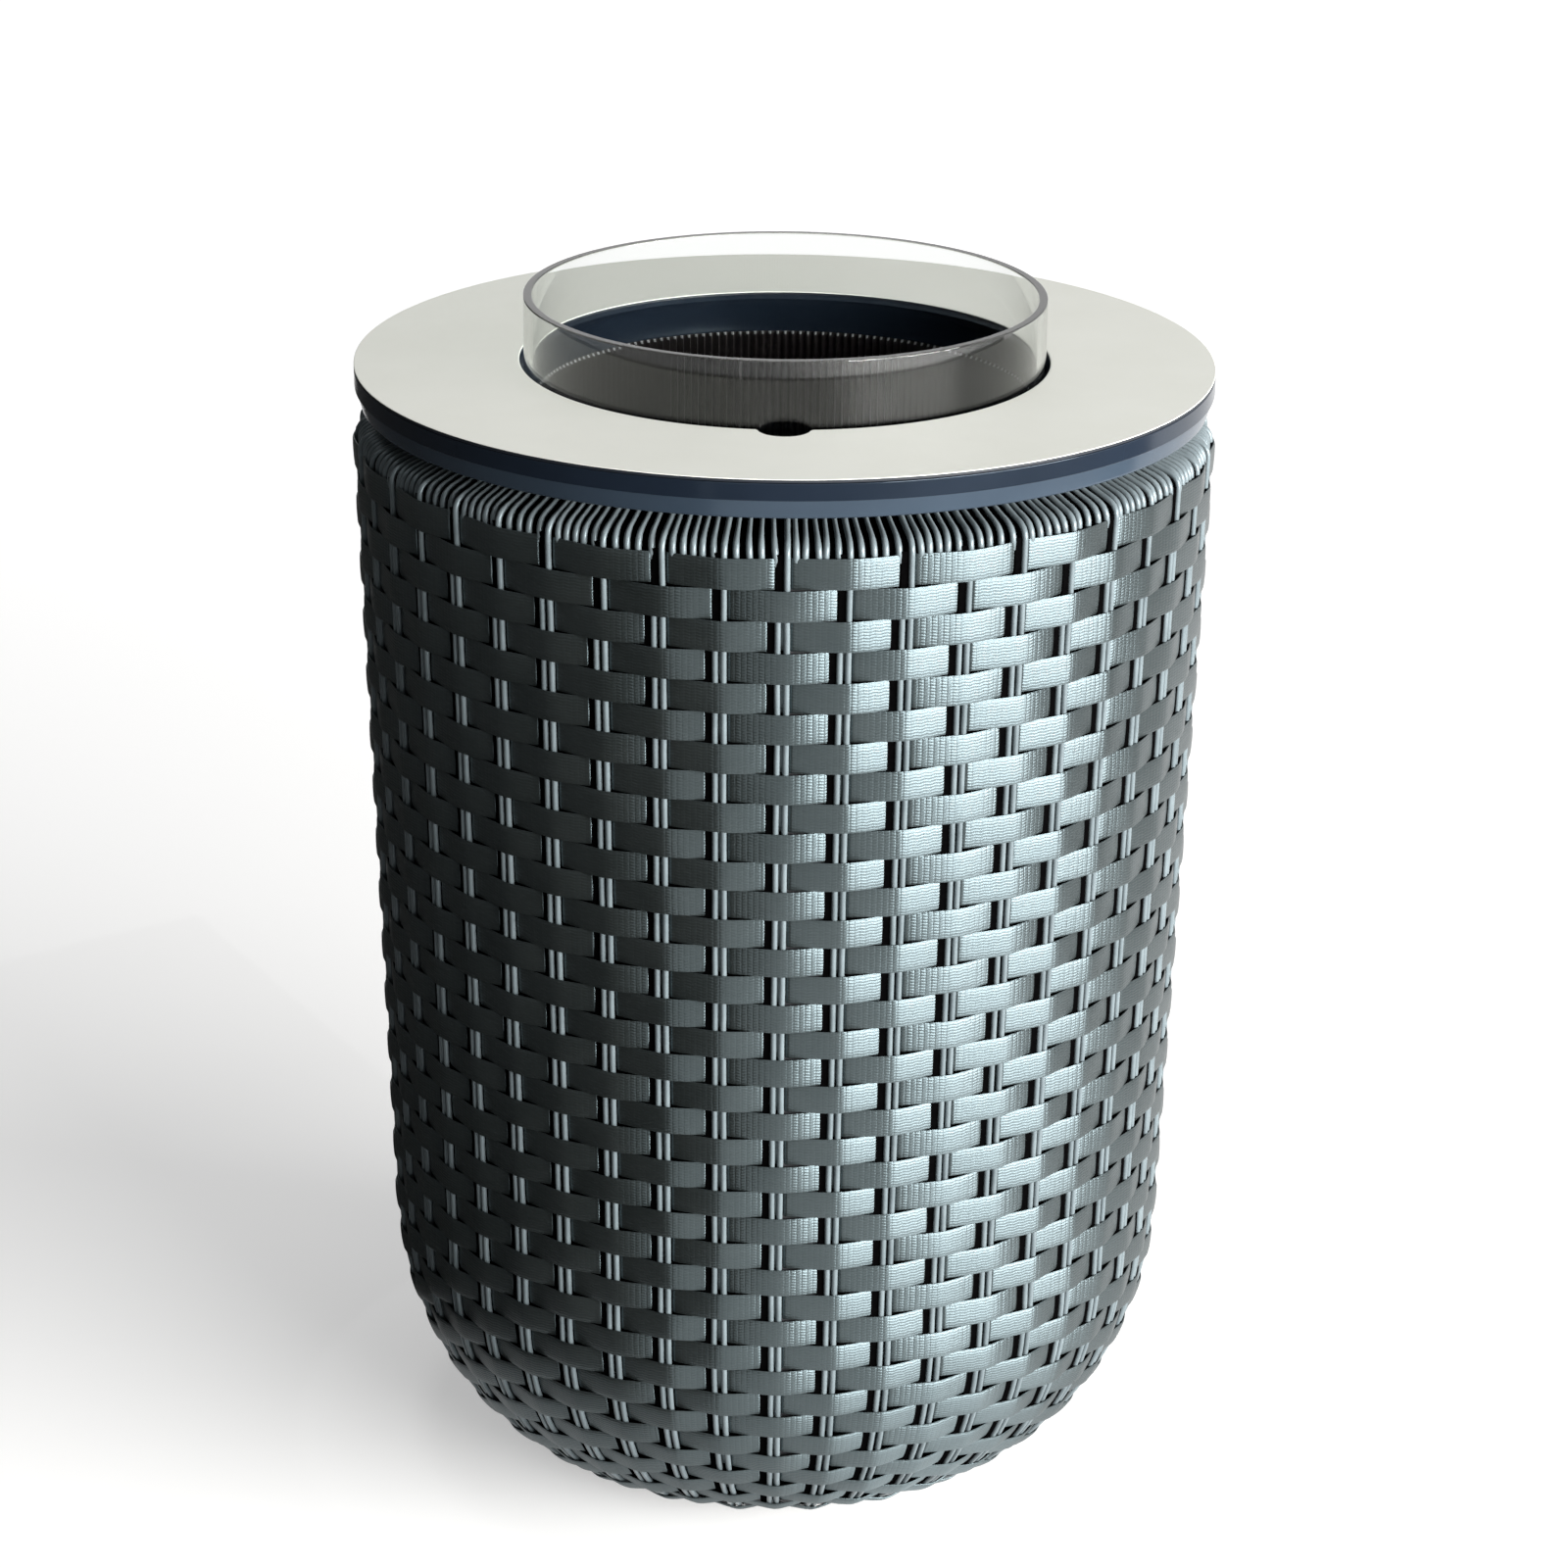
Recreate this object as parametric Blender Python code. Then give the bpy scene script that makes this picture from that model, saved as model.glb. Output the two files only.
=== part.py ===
"""Round woven patio table with a cooler in its middle.

Metres, +Z up, floor at z = 0, front towards -Y. The table top lifts off, the clear bucket lifts
out of the liner, and the liner lifts out of the woven basket. Depths are measured down from the
top surface of the table.
"""
import math

import bmesh
import bpy
from mathutils import Matrix, Vector

MM = 0.001

# Overall sizes
TABLE_HEIGHT = 550 * MM
TABLE_RADIUS = 200 * MM
OPENING_RADIUS = 123.5 * MM

# Gap between pieces that rest on each other or lie side by side
SEAT_GAP = 0.3 * MM

# Table top: a thin disc on a moulded carrier with a stepped skirt and an inner collar
DISC_THICKNESS = 1.5 * MM
DISC_EDGE_ROUND = 0.5 * MM
CARRIER_WALL = 3 * MM
SKIRT_DEPTH = 17.5 * MM
SKIRT_STEP_DEPTH = 9 * MM
SKIRT_STEP_WIDTH = 0.8 * MM
SKIRT_TAPER = 2.2 * MM
COLLAR_DEPTH = 20 * MM
COLLAR_LIP_DEPTH = 5 * MM
COLLAR_LIP_WIDTH = 0.8 * MM
CARRIER_RIB_COUNT = 12
CARRIER_RIB_THICKNESS = 2.5 * MM

# Finger notch at the front of the opening
NOTCH_WIDTH = 31 * MM
NOTCH_FLOOR_WIDTH = 13 * MM
NOTCH_DEPTH = 10.5 * MM
NOTCH_STEPS = 14

# Clear bucket
BUCKET_CLEARANCE = 2 * MM
BUCKET_WALL = 4 * MM
BUCKET_FLOOR = 5 * MM
BUCKET_RISE = 30.5 * MM
BUCKET_CORNER = 9 * MM
BUCKET_INNER_DEPTH = 165 * MM

# Liner that hangs by its flange from the rim of the basket
LINER_WALL = 2.5 * MM
LINER_CORNER = 3 * MM
LINER_COLLAR_CLEARANCE = 0.8 * MM
FLUTE_COUNT = 208
FLUTE_HEIGHT = 2.5 * MM
FLUTE_SETBACK = 0.2 * MM
FLANGE_THICKNESS = 2.5 * MM
FLANGE_OVERHANG = 2 * MM
CENTRING_RING_DEPTH = 11 * MM
CENTRING_RING_THICKNESS = 2.5 * MM

# Rim of the basket: a tube hoop wrapped with round strands
RIM_TUBE_RADIUS = 10.4 * MM
RIM_RISE = 2.5 * MM
WRAP_THICKNESS = 2.7 * MM
WRAP_INSIDE_ANGLE = math.radians(215)
WRAP_STEPS = 4

# Woven wall: stakes stand upright, flat straps run round over and under them
STAKE_COUNT = 46
WALL_TOP_DEPTH = 35.5 * MM
WALL_TOP_OVERHANG = 1.8 * MM
WALL_DRAFT = 0.0318
WALL_THICKNESS = 4 * MM
STRAP_RELIEF = 2.2 * MM
STRAP_GAP = 0.6 * MM
STRAP_PITCH_TOP = 14.35 * MM
STRAP_PITCH_LOSS = 0.053 * MM
STRAP_PITCH_LEAST = 13.2 * MM
ROUNDING_HEIGHT = 145 * MM
ROUNDING_EXPONENT = 2.25
ROUNDING_OVERRUN = 9 * MM
ROUNDING_FLAT_RADIUS = 60.6 * MM
ROUNDING_STEPS = 60
INNER_STATIONS = 5

# Frame inside the basket
UPRIGHT_COUNT = 6
UPRIGHT_WIDTH = 20 * MM
UPRIGHT_FOOT_LENGTH = 24 * MM
STRIP_THICKNESS = 3 * MM
BAND_HEIGHT = 15 * MM
BAND_DEPTH = 290 * MM
BASE_PLATE_THICKNESS = 4 * MM
DRAIN_HOLE_RADIUS = 7 * MM
DRAIN_HOLE_COUNT = 6
DRAIN_HOLE_CIRCLE = 50 * MM

# Glides pushed into the base plate
GLIDE_COUNT = 6
GLIDE_HEIGHT = 5 * MM
GLIDE_RADIUS = 11 * MM
GLIDE_CHAMFER = 1.2 * MM
GLIDE_STEM_RADIUS = 3 * MM
GLIDE_INSET = 14 * MM

# Facets: round pieces have a corner in line with each stake, so neighbours stay parallel
ROUND_SEGMENTS = STAKE_COUNT
SMALL_SEGMENTS = 8
TUBE_BARE_STEPS = 2
SHARP_ANGLE = math.radians(35)
HALVINGS = 40
MERGE_DISTANCE = 0.001 * MM

# Values worked out from the sizes above
COLLAR_OUTER_RADIUS = OPENING_RADIUS + CARRIER_WALL
BUCKET_RADIUS = OPENING_RADIUS - BUCKET_CLEARANCE
WRAP_RADIUS = RIM_TUBE_RADIUS + SEAT_GAP + WRAP_THICKNESS
WALL_TOP_RADIUS = TABLE_RADIUS + WALL_TOP_OVERHANG
RIM_RADIUS = WALL_TOP_RADIUS - WALL_THICKNESS - SEAT_GAP - RIM_TUBE_RADIUS
RIM_DEPTH = WALL_TOP_DEPTH - RIM_RISE
WRAP_TOP_DEPTH = RIM_DEPTH - WRAP_RADIUS
FLANGE_UNDERSIDE = WRAP_TOP_DEPTH - SEAT_GAP
FLANGE_TOP_DEPTH = FLANGE_UNDERSIDE - FLANGE_THICKNESS
CARRIER_TOP_DEPTH = DISC_THICKNESS + SEAT_GAP
CARRIER_SEAT_DEPTH = FLANGE_TOP_DEPTH - SEAT_GAP
BUCKET_BOTTOM_DEPTH = BUCKET_INNER_DEPTH + BUCKET_FLOOR
LINER_FLOOR_DEPTH = BUCKET_BOTTOM_DEPTH + SEAT_GAP
LINER_LEDGE_DEPTH = COLLAR_DEPTH + SEAT_GAP
LINER_MOUTH_RADIUS = COLLAR_OUTER_RADIUS + LINER_COLLAR_CLEARANCE
BASE_DEPTH = TABLE_HEIGHT - GLIDE_HEIGHT
ROUNDING_START_DEPTH = BASE_DEPTH + ROUNDING_OVERRUN - ROUNDING_HEIGHT
STAKE_ANGLE = 2 * math.pi / STAKE_COUNT
FRONT = -math.pi / 2
FACET_FACTOR = math.cos(STAKE_ANGLE / 2)


def clear_scene():
    """Remove what the scene holds."""
    for obj in list(bpy.data.objects):
        bpy.data.objects.remove(obj, do_unlink=True)


def make_material(name, colour, roughness, metallic=0.0, alpha=1.0):
    """A plain surface of one colour."""
    material = bpy.data.materials.new(name)
    material.use_nodes = True
    shader = material.node_tree.nodes["Principled BSDF"]
    shader.inputs["Base Color"].default_value = (*colour, 1.0)
    shader.inputs["Roughness"].default_value = roughness
    shader.inputs["Metallic"].default_value = metallic
    shader.inputs["Alpha"].default_value = alpha
    return material


def make_empty(name, parent, height):
    """A guide on the table's axis that the pieces of one body hang from."""
    empty = bpy.data.objects.new(name, None)
    bpy.context.scene.collection.objects.link(empty)
    empty.parent = parent
    empty.location.z = height
    return empty


def make_object(name, mesh_data, parent, material):
    """Turn a bmesh into an object with its faces out and its round faces smooth."""
    bmesh.ops.recalc_face_normals(mesh_data, faces=mesh_data.faces)
    mesh = bpy.data.meshes.new(name)
    mesh_data.to_mesh(mesh)
    mesh_data.free()
    mesh.shade_smooth()
    mesh.set_sharp_from_angle(angle=SHARP_ANGLE)
    mesh.materials.append(material)
    obj = bpy.data.objects.new(name, mesh)
    bpy.context.scene.collection.objects.link(obj)
    obj.parent = parent
    return obj


def spin_profile(profile, segments, closed=True, phase=FRONT):
    """Spin a line of (radius, height) points round the Z axis into a bmesh."""
    data = bmesh.new()
    verts = [data.verts.new((r * math.cos(phase), r * math.sin(phase), z)) for r, z in profile]
    edges = [data.edges.new(pair) for pair in zip(verts, verts[1:])]
    if closed:
        edges.append(data.edges.new((verts[-1], verts[0])))
    bmesh.ops.spin(data, geom=verts + edges, cent=(0, 0, 0), axis=(0, 0, 1), dvec=(0, 0, 0),
                   angle=2 * math.pi, steps=segments, use_merge=True)
    bmesh.ops.remove_doubles(data, verts=data.verts, dist=MERGE_DISTANCE)
    return data


def loft_rings(rings):
    """Join rings of points into a closed skin that runs round like a tyre."""
    data = bmesh.new()
    loops = [[data.verts.new(point) for point in ring] for ring in rings]
    for upper, lower in zip(loops, loops[1:] + loops[:1]):
        for i in range(len(upper)):
            j = (i + 1) % len(upper)
            data.faces.new((upper[i], upper[j], lower[j], lower[i]))
    return data


def extrude_outline(outline, height):
    """Fill an outline and pull it up along Z."""
    data = bmesh.new()
    face = data.faces.new([data.verts.new((x, y, 0)) for x, y in outline])
    pulled = bmesh.ops.extrude_face_region(data, geom=[face])["geom"]
    moved = [item for item in pulled if isinstance(item, bmesh.types.BMVert)]
    bmesh.ops.translate(data, vec=(0, 0, height), verts=moved)
    return data


def hide_guide(obj):
    """Keep a cutter out of the finished model."""
    obj.hide_render = True
    obj.display_type = "WIRE"


def add_boolean(obj, operation, other):
    """Cut or join another shape as a modifier."""
    modifier = obj.modifiers.new(other.name, "BOOLEAN")
    modifier.operation = operation
    modifier.object = other
    hide_guide(other)


def join_parts(parts):
    """Gather the faces of several bmeshes into one."""
    gathered = bmesh.new()
    for part in parts:
        mesh = bpy.data.meshes.new("gathered")
        part.to_mesh(mesh)
        part.free()
        gathered.from_mesh(mesh)
        bpy.data.meshes.remove(mesh)
    return gathered


class BodyLine:
    """Outer line of the woven wall, from its top edge down to the base plane."""

    def __init__(self):
        self.points = [Vector((WALL_TOP_RADIUS, TABLE_HEIGHT - WALL_TOP_DEPTH))]
        self.points += self.rounded_part()
        self.lengths = [0.0]
        for start, end in zip(self.points, self.points[1:]):
            self.lengths.append(self.lengths[-1] + (end - start).length)
        self.length = self.lengths[-1]

    def rounded_part(self):
        """The bowl below the tapered side, a superellipse cut off at the base plane."""
        drop = ROUNDING_START_DEPTH - WALL_TOP_DEPTH
        start_radius = WALL_TOP_RADIUS - WALL_DRAFT * drop
        start_height = TABLE_HEIGHT - ROUNDING_START_DEPTH
        power = 2 / ROUNDING_EXPONENT
        reach = (ROUNDING_HEIGHT - ROUNDING_OVERRUN) / ROUNDING_HEIGHT
        last = math.asin(reach ** (1 / power))
        points = []
        for i in range(ROUNDING_STEPS + 1):
            t = last * i / ROUNDING_STEPS
            radius = (ROUNDING_FLAT_RADIUS
                      + (start_radius - ROUNDING_FLAT_RADIUS) * math.cos(t) ** power)
            height = start_height - ROUNDING_HEIGHT * math.sin(t) ** power
            points.append(Vector((radius, height)))
        return points

    def inset(self, distance, depth):
        """Point at a distance along the line, moved into the wall by a depth."""
        distance = min(max(distance, 0.0), self.length)
        i = 1
        while i < len(self.points) - 1 and self.lengths[i] < distance:
            i += 1
        start, end = self.points[i - 1], self.points[i]
        run = (end - start).normalized()
        point = start + run * (distance - self.lengths[i - 1])
        return point + Vector((run.y, -run.x)) * depth

    def at_height(self, height, depth):
        """Distance along the line at which the inset line passes a height."""
        low, high = 0.0, self.length
        for _ in range(HALVINGS):
            middle = (low + high) / 2
            if self.inset(middle, depth).y > height:
                low = middle
            else:
                high = middle
        return (low + high) / 2


def strap_rows(body_line):
    """Upper and lower edge of each strap, as distances along the body line."""
    rows = []
    top = 0.0
    pitch = STRAP_PITCH_TOP
    while top + pitch <= body_line.length:
        rows.append((top, top + pitch - STRAP_GAP))
        top += pitch
        pitch = max(pitch - STRAP_PITCH_LOSS, STRAP_PITCH_LEAST)
    return rows


def wall_ring(body_line, distance, depth_of):
    """Ring of points on the wall, one at each stake, each at its own depth."""
    ring = []
    for k in range(STAKE_COUNT):
        radius, height = body_line.inset(distance, depth_of(k))
        angle = FRONT + k * STAKE_ANGLE
        ring.append((radius * math.cos(angle), radius * math.sin(angle), height))
    return ring


def strap_rings(body_line, first, last):
    """Outer rings of a run of straps, each over every other stake and behind the ones between."""
    rings = []
    for row, edges in enumerate(strap_rows(body_line)[first:last], start=first):
        for distance in edges:
            rings.append(wall_ring(body_line, distance,
                                   lambda k, row=row: (row + k + 1) % 2 * STRAP_RELIEF))
    return rings


def build_weave(name, body_line, outer, inner_distances, parent, material):
    """Part of the woven wall: its straps outside and a plain face inside, listed upwards."""
    inner = [wall_ring(body_line, distance, lambda k: WALL_THICKNESS)
             for distance in inner_distances]
    return make_object(name, loft_rings(outer + inner), parent, material)


def build_woven_wall(body_line, parent, material):
    """Straight wall and rounded base of one weave, parted between two straps."""
    rows = strap_rows(body_line)
    straight = sum(bottom <= body_line.lengths[1] for _, bottom in rows)
    wall = strap_rings(body_line, 0, straight)
    build_weave("woven_wall", body_line, wall, [rows[straight - 1][1], 0.0], parent, material)
    base = strap_rings(body_line, straight, len(rows))
    base.append(wall_ring(body_line, body_line.length, lambda k: STRAP_RELIEF / 2))
    corners = [inner_distance(body_line, i) for i in range(INNER_STATIONS, 0, -1)]
    corners.append(rows[straight][0])
    build_weave("woven_base", body_line, base, corners, parent, material)


def inner_distance(body_line, station):
    """Where the inner face of the wall and the frame have their corners."""
    rounding = body_line.lengths[1]
    if station == 0:
        return 0.0
    share = (station - 1) / (INNER_STATIONS - 1)
    return rounding + (body_line.length - rounding) * share


def wrap_angles():
    """Angles round the hoop's section where the wrap has its corners, outside to inside."""
    start = -math.asin((WALL_TOP_DEPTH - SEAT_GAP - RIM_DEPTH) / WRAP_RADIUS)
    return [start + (WRAP_INSIDE_ANGLE - start) * i / WRAP_STEPS for i in range(WRAP_STEPS + 1)]


def section_points(angles, radius):
    """Points on a circle round the middle of the hoop's section."""
    return [(RIM_RADIUS + radius * math.cos(angle),
             TABLE_HEIGHT - RIM_DEPTH + radius * math.sin(angle)) for angle in angles]


def build_rim_tube(parent, material):
    """Round tube hoop at the top of the frame, its corners in line with those of the wrap."""
    angles = wrap_angles()
    bare = angles[0] + 2 * math.pi - angles[-1]
    angles += [angles[-1] + bare * i / TUBE_BARE_STEPS for i in range(1, TUBE_BARE_STEPS)]
    profile = section_points(angles, RIM_TUBE_RADIUS)
    return make_object("rim_tube", spin_profile(profile, STAKE_COUNT), parent, material)


def build_rim_wrap(parent, material):
    """Strands wound over the hoop, open underneath, from the wall's top edge to the inside."""
    outer = section_points(wrap_angles(), WRAP_RADIUS)
    inner = section_points(wrap_angles(), WRAP_RADIUS - WRAP_THICKNESS)
    return make_object("rim_wrap", spin_profile(outer + inner[::-1], STAKE_COUNT), parent, material)


def upright_outline(body_line):
    """Side view of a frame strip that follows the wall and turns in as a foot on the base plate."""
    near = WALL_THICKNESS + SEAT_GAP
    far = near + STRIP_THICKNESS
    foot_height = GLIDE_HEIGHT + BASE_PLATE_THICKNESS + SEAT_GAP
    top_radius = body_line.inset(0.0, far).x * FACET_FACTOR - RIM_RADIUS
    reach = RIM_TUBE_RADIUS + SEAT_GAP
    top_height = TABLE_HEIGHT - RIM_DEPTH - math.sqrt(max(reach ** 2 - top_radius ** 2, 0.0))
    lines = []
    for depth, level in ((near, foot_height), (far, foot_height + STRIP_THICKNESS)):
        first = body_line.at_height(top_height, depth)
        last = body_line.at_height(level, depth)
        stations = [inner_distance(body_line, i) for i in range(1, INNER_STATIONS + 1)]
        inside = [s for s in stations if first < s < last]
        line = [body_line.inset(s, depth) for s in [first] + inside + [last]]
        lines.append([(point.x * FACET_FACTOR, point.y) for point in line])
    outer, inner = lines
    foot_end = outer[-1][0] - UPRIGHT_FOOT_LENGTH
    outer.append((foot_end, foot_height))
    inner.append((foot_end, foot_height + STRIP_THICKNESS))
    return outer + inner[::-1]


def build_uprights(body_line, parent, material):
    """Flat frame strips, each lying against the middle of a facet of the wall."""
    outline = upright_outline(body_line)
    data = extrude_outline(outline, UPRIGHT_WIDTH)
    bmesh.ops.translate(data, vec=(0, 0, -UPRIGHT_WIDTH / 2), verts=data.verts)
    bmesh.ops.rotate(data, cent=(0, 0, 0), matrix=Matrix.Rotation(math.pi / 2, 3, "X"),
                     verts=data.verts)
    first = make_object("upright_1", data, parent, material)
    for i in range(UPRIGHT_COUNT):
        facet = round(i * STAKE_COUNT / UPRIGHT_COUNT)
        upright = first
        if i:
            upright = bpy.data.objects.new(f"upright_{i + 1}", first.data)
            bpy.context.scene.collection.objects.link(upright)
            upright.parent = parent
        upright.rotation_euler.z = FRONT + (facet + 0.5) * STAKE_ANGLE


def build_band(body_line, parent, material):
    """Flat hoop that ties the uprights together on their inner side."""
    near = WALL_THICKNESS + SEAT_GAP + STRIP_THICKNESS + SEAT_GAP
    far = near + STRIP_THICKNESS
    upper = body_line.at_height(TABLE_HEIGHT - BAND_DEPTH + BAND_HEIGHT / 2, near)
    lower = body_line.at_height(TABLE_HEIGHT - BAND_DEPTH - BAND_HEIGHT / 2, near)
    profile = [body_line.inset(distance, inset)
               for distance, inset in ((upper, near), (lower, near), (lower, far), (upper, far))]
    return make_object("frame_band", spin_profile(profile, STAKE_COUNT), parent, material)


def base_plate_radius(body_line):
    """The plate fills the hole that the lower edge of the wall leaves."""
    edge = body_line.inset(body_line.length, WALL_THICKNESS).x
    return edge * FACET_FACTOR - SEAT_GAP


def build_base_plate(body_line, parent, material):
    """Sheet that closes the bottom, with drain holes and holes for the glides."""
    radius = base_plate_radius(body_line)
    top = GLIDE_HEIGHT + BASE_PLATE_THICKNESS
    profile = [(0, GLIDE_HEIGHT), (radius, GLIDE_HEIGHT), (radius, top), (0, top)]
    plate = make_object("base_plate", spin_profile(profile, STAKE_COUNT, closed=False), parent,
                        material)
    circles = [(DRAIN_HOLE_CIRCLE, DRAIN_HOLE_RADIUS, DRAIN_HOLE_COUNT),
               (glide_circle(body_line), GLIDE_STEM_RADIUS + SEAT_GAP, GLIDE_COUNT)]
    holes = []
    for circle, hole_radius, count in circles:
        for i in range(count):
            angle = FRONT + 2 * math.pi * (i + 0.5) / count
            hole = bmesh.new()
            place = Matrix.Translation((circle * math.cos(angle), circle * math.sin(angle),
                                        GLIDE_HEIGHT + BASE_PLATE_THICKNESS / 2))
            bmesh.ops.create_cone(hole, cap_ends=True, segments=SMALL_SEGMENTS, matrix=place,
                                  radius1=hole_radius, radius2=hole_radius,
                                  depth=3 * BASE_PLATE_THICKNESS)
            holes.append(hole)
    cutter = make_object("base_holes", join_parts(holes), parent, material)
    add_boolean(plate, "DIFFERENCE", cutter)
    return plate


def glide_circle(body_line):
    """Radius of the circle that the glides stand on."""
    return base_plate_radius(body_line) - GLIDE_INSET


def build_glides(body_line, parent, material):
    """Plastic buttons with a stem in the base plate."""
    stem_top = GLIDE_HEIGHT + BASE_PLATE_THICKNESS
    profile = [(0, 0), (GLIDE_RADIUS - GLIDE_CHAMFER, 0), (GLIDE_RADIUS, GLIDE_CHAMFER),
               (GLIDE_RADIUS, GLIDE_HEIGHT - SEAT_GAP), (GLIDE_STEM_RADIUS, GLIDE_HEIGHT - SEAT_GAP),
               (GLIDE_STEM_RADIUS, stem_top), (0, stem_top)]
    first = make_object("glide_1", spin_profile(profile, SMALL_SEGMENTS, closed=False), parent,
                        material)
    circle = glide_circle(body_line)
    for i in range(GLIDE_COUNT):
        glide = first
        if i:
            glide = bpy.data.objects.new(f"glide_{i + 1}", first.data)
            bpy.context.scene.collection.objects.link(glide)
            glide.parent = parent
        angle = FRONT + 2 * math.pi * (i + 0.5) / GLIDE_COUNT
        glide.location = (circle * math.cos(angle), circle * math.sin(angle), 0)


def notch_reach(x):
    """How far the finger notch reaches past the opening's edge, at a distance from its middle."""
    ramp = (NOTCH_WIDTH - NOTCH_FLOOR_WIDTH) / 2
    share = min(max((abs(x) - NOTCH_FLOOR_WIDTH / 2) / ramp, 0.0), 1.0)
    return NOTCH_DEPTH * (1 + math.cos(math.pi * share)) / 2


def build_notch_cutter(parent, material):
    """Prism that cuts the finger notch with its eased corners."""
    outline = []
    for i in range(NOTCH_STEPS + 1):
        x = NOTCH_WIDTH * (i / NOTCH_STEPS - 0.5)
        edge = math.sqrt(OPENING_RADIUS ** 2 - x ** 2)
        outline.append((x, -(edge + notch_reach(x))))
    inside = -(OPENING_RADIUS - 2 * CARRIER_WALL)
    outline.append((NOTCH_WIDTH / 2, inside))
    outline.append((-NOTCH_WIDTH / 2, inside))
    height = COLLAR_DEPTH + 4 * CARRIER_WALL
    data = extrude_outline(outline, height)
    bmesh.ops.translate(data, vec=(0, 0, 2 * CARRIER_WALL - height), verts=data.verts)
    return make_object("notch_cutter", data, parent, material)


def build_disc(notch, parent, material):
    """Thin round top with eased edges."""
    r_in, r_out, edge = OPENING_RADIUS, TABLE_RADIUS, DISC_EDGE_ROUND
    profile = [(r_in, -DISC_THICKNESS), (r_out, -DISC_THICKNESS), (r_out, -edge),
               (r_out - edge, 0), (r_in + edge, 0), (r_in, -edge)]
    disc = make_object("tabletop_disc", spin_profile(profile, ROUND_SEGMENTS), parent, material)
    add_boolean(disc, "DIFFERENCE", notch)
    return disc


def carrier_profile():
    """Section of the moulding: plate, stepped skirt that tapers in, and collar with a lip."""
    plate_top = -CARRIER_TOP_DEPTH
    plate_bottom = plate_top - CARRIER_WALL
    lower_radius = TABLE_RADIUS - SKIRT_STEP_WIDTH
    foot_radius = lower_radius - SKIRT_TAPER
    collar_radius = OPENING_RADIUS + COLLAR_LIP_WIDTH
    return [(OPENING_RADIUS, plate_top), (TABLE_RADIUS, plate_top),
            (TABLE_RADIUS, -SKIRT_STEP_DEPTH), (lower_radius, -SKIRT_STEP_DEPTH),
            (foot_radius, -SKIRT_DEPTH), (foot_radius - CARRIER_WALL, -SKIRT_DEPTH),
            (lower_radius - CARRIER_WALL, plate_bottom), (COLLAR_OUTER_RADIUS, plate_bottom),
            (COLLAR_OUTER_RADIUS, -COLLAR_DEPTH), (collar_radius, -COLLAR_DEPTH),
            (collar_radius, -COLLAR_LIP_DEPTH), (OPENING_RADIUS, -COLLAR_LIP_DEPTH)]


def make_block(low, high):
    """Box between two corners."""
    low, high = Vector(low), Vector(high)
    data = bmesh.new()
    size = high - low
    place = Matrix.Translation((low + high) / 2) @ Matrix.Diagonal((*size, 1))
    bmesh.ops.create_cube(data, size=1, matrix=place)
    return data


def build_carrier_ribs(parent, material):
    """Radial ribs under the plate and the pocket wall round the finger notch, as one tool."""
    inner = COLLAR_OUTER_RADIUS - CARRIER_WALL / 3
    outer = TABLE_RADIUS - SKIRT_STEP_WIDTH - SKIRT_TAPER - CARRIER_WALL / 2
    top = -CARRIER_TOP_DEPTH - CARRIER_WALL / 2
    pieces = []
    for i in range(CARRIER_RIB_COUNT):
        rib = make_block((inner, -CARRIER_RIB_THICKNESS / 2, -CARRIER_SEAT_DEPTH),
                         (outer, CARRIER_RIB_THICKNESS / 2, top))
        angle = FRONT + 2 * math.pi * (i + 0.5) / CARRIER_RIB_COUNT
        bmesh.ops.rotate(rib, cent=(0, 0, 0), matrix=Matrix.Rotation(angle, 3, "Z"), verts=rib.verts)
        pieces.append(rib)
    half = NOTCH_WIDTH / 2 + CARRIER_WALL
    back = OPENING_RADIUS + NOTCH_DEPTH + CARRIER_WALL
    front = math.sqrt(inner ** 2 - half ** 2)
    pieces.append(make_block((-half, -back, -CARRIER_SEAT_DEPTH), (half, -front, top)))
    return make_object("carrier_ribs", join_parts(pieces), parent, material)


def build_carrier(notch, parent, material):
    """Moulding under the disc, open below, with ribs that rest on the liner's flange."""
    carrier = make_object("top_carrier", spin_profile(carrier_profile(), ROUND_SEGMENTS), parent,
                          material)
    add_boolean(carrier, "UNION", build_carrier_ribs(parent, material))
    add_boolean(carrier, "DIFFERENCE", notch)
    return carrier


def build_bucket(parent, material):
    """Clear straight-sided bucket with a flat rim and a rounded foot."""
    inner = BUCKET_RADIUS - BUCKET_WALL
    bottom, floor = -BUCKET_BOTTOM_DEPTH, -BUCKET_INNER_DEPTH
    bend = BUCKET_CORNER * (1 - math.sqrt(0.5))
    profile = [(0, bottom), (BUCKET_RADIUS - BUCKET_CORNER, bottom),
               (BUCKET_RADIUS - bend, bottom + bend),
               (BUCKET_RADIUS, bottom + BUCKET_CORNER), (BUCKET_RADIUS, BUCKET_RISE),
               (inner, BUCKET_RISE), (inner, floor + BUCKET_WALL), (inner - BUCKET_WALL, floor),
               (0, floor)]
    return make_object("clear_bucket", spin_profile(profile, ROUND_SEGMENTS, closed=False), parent,
                       material)


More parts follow.
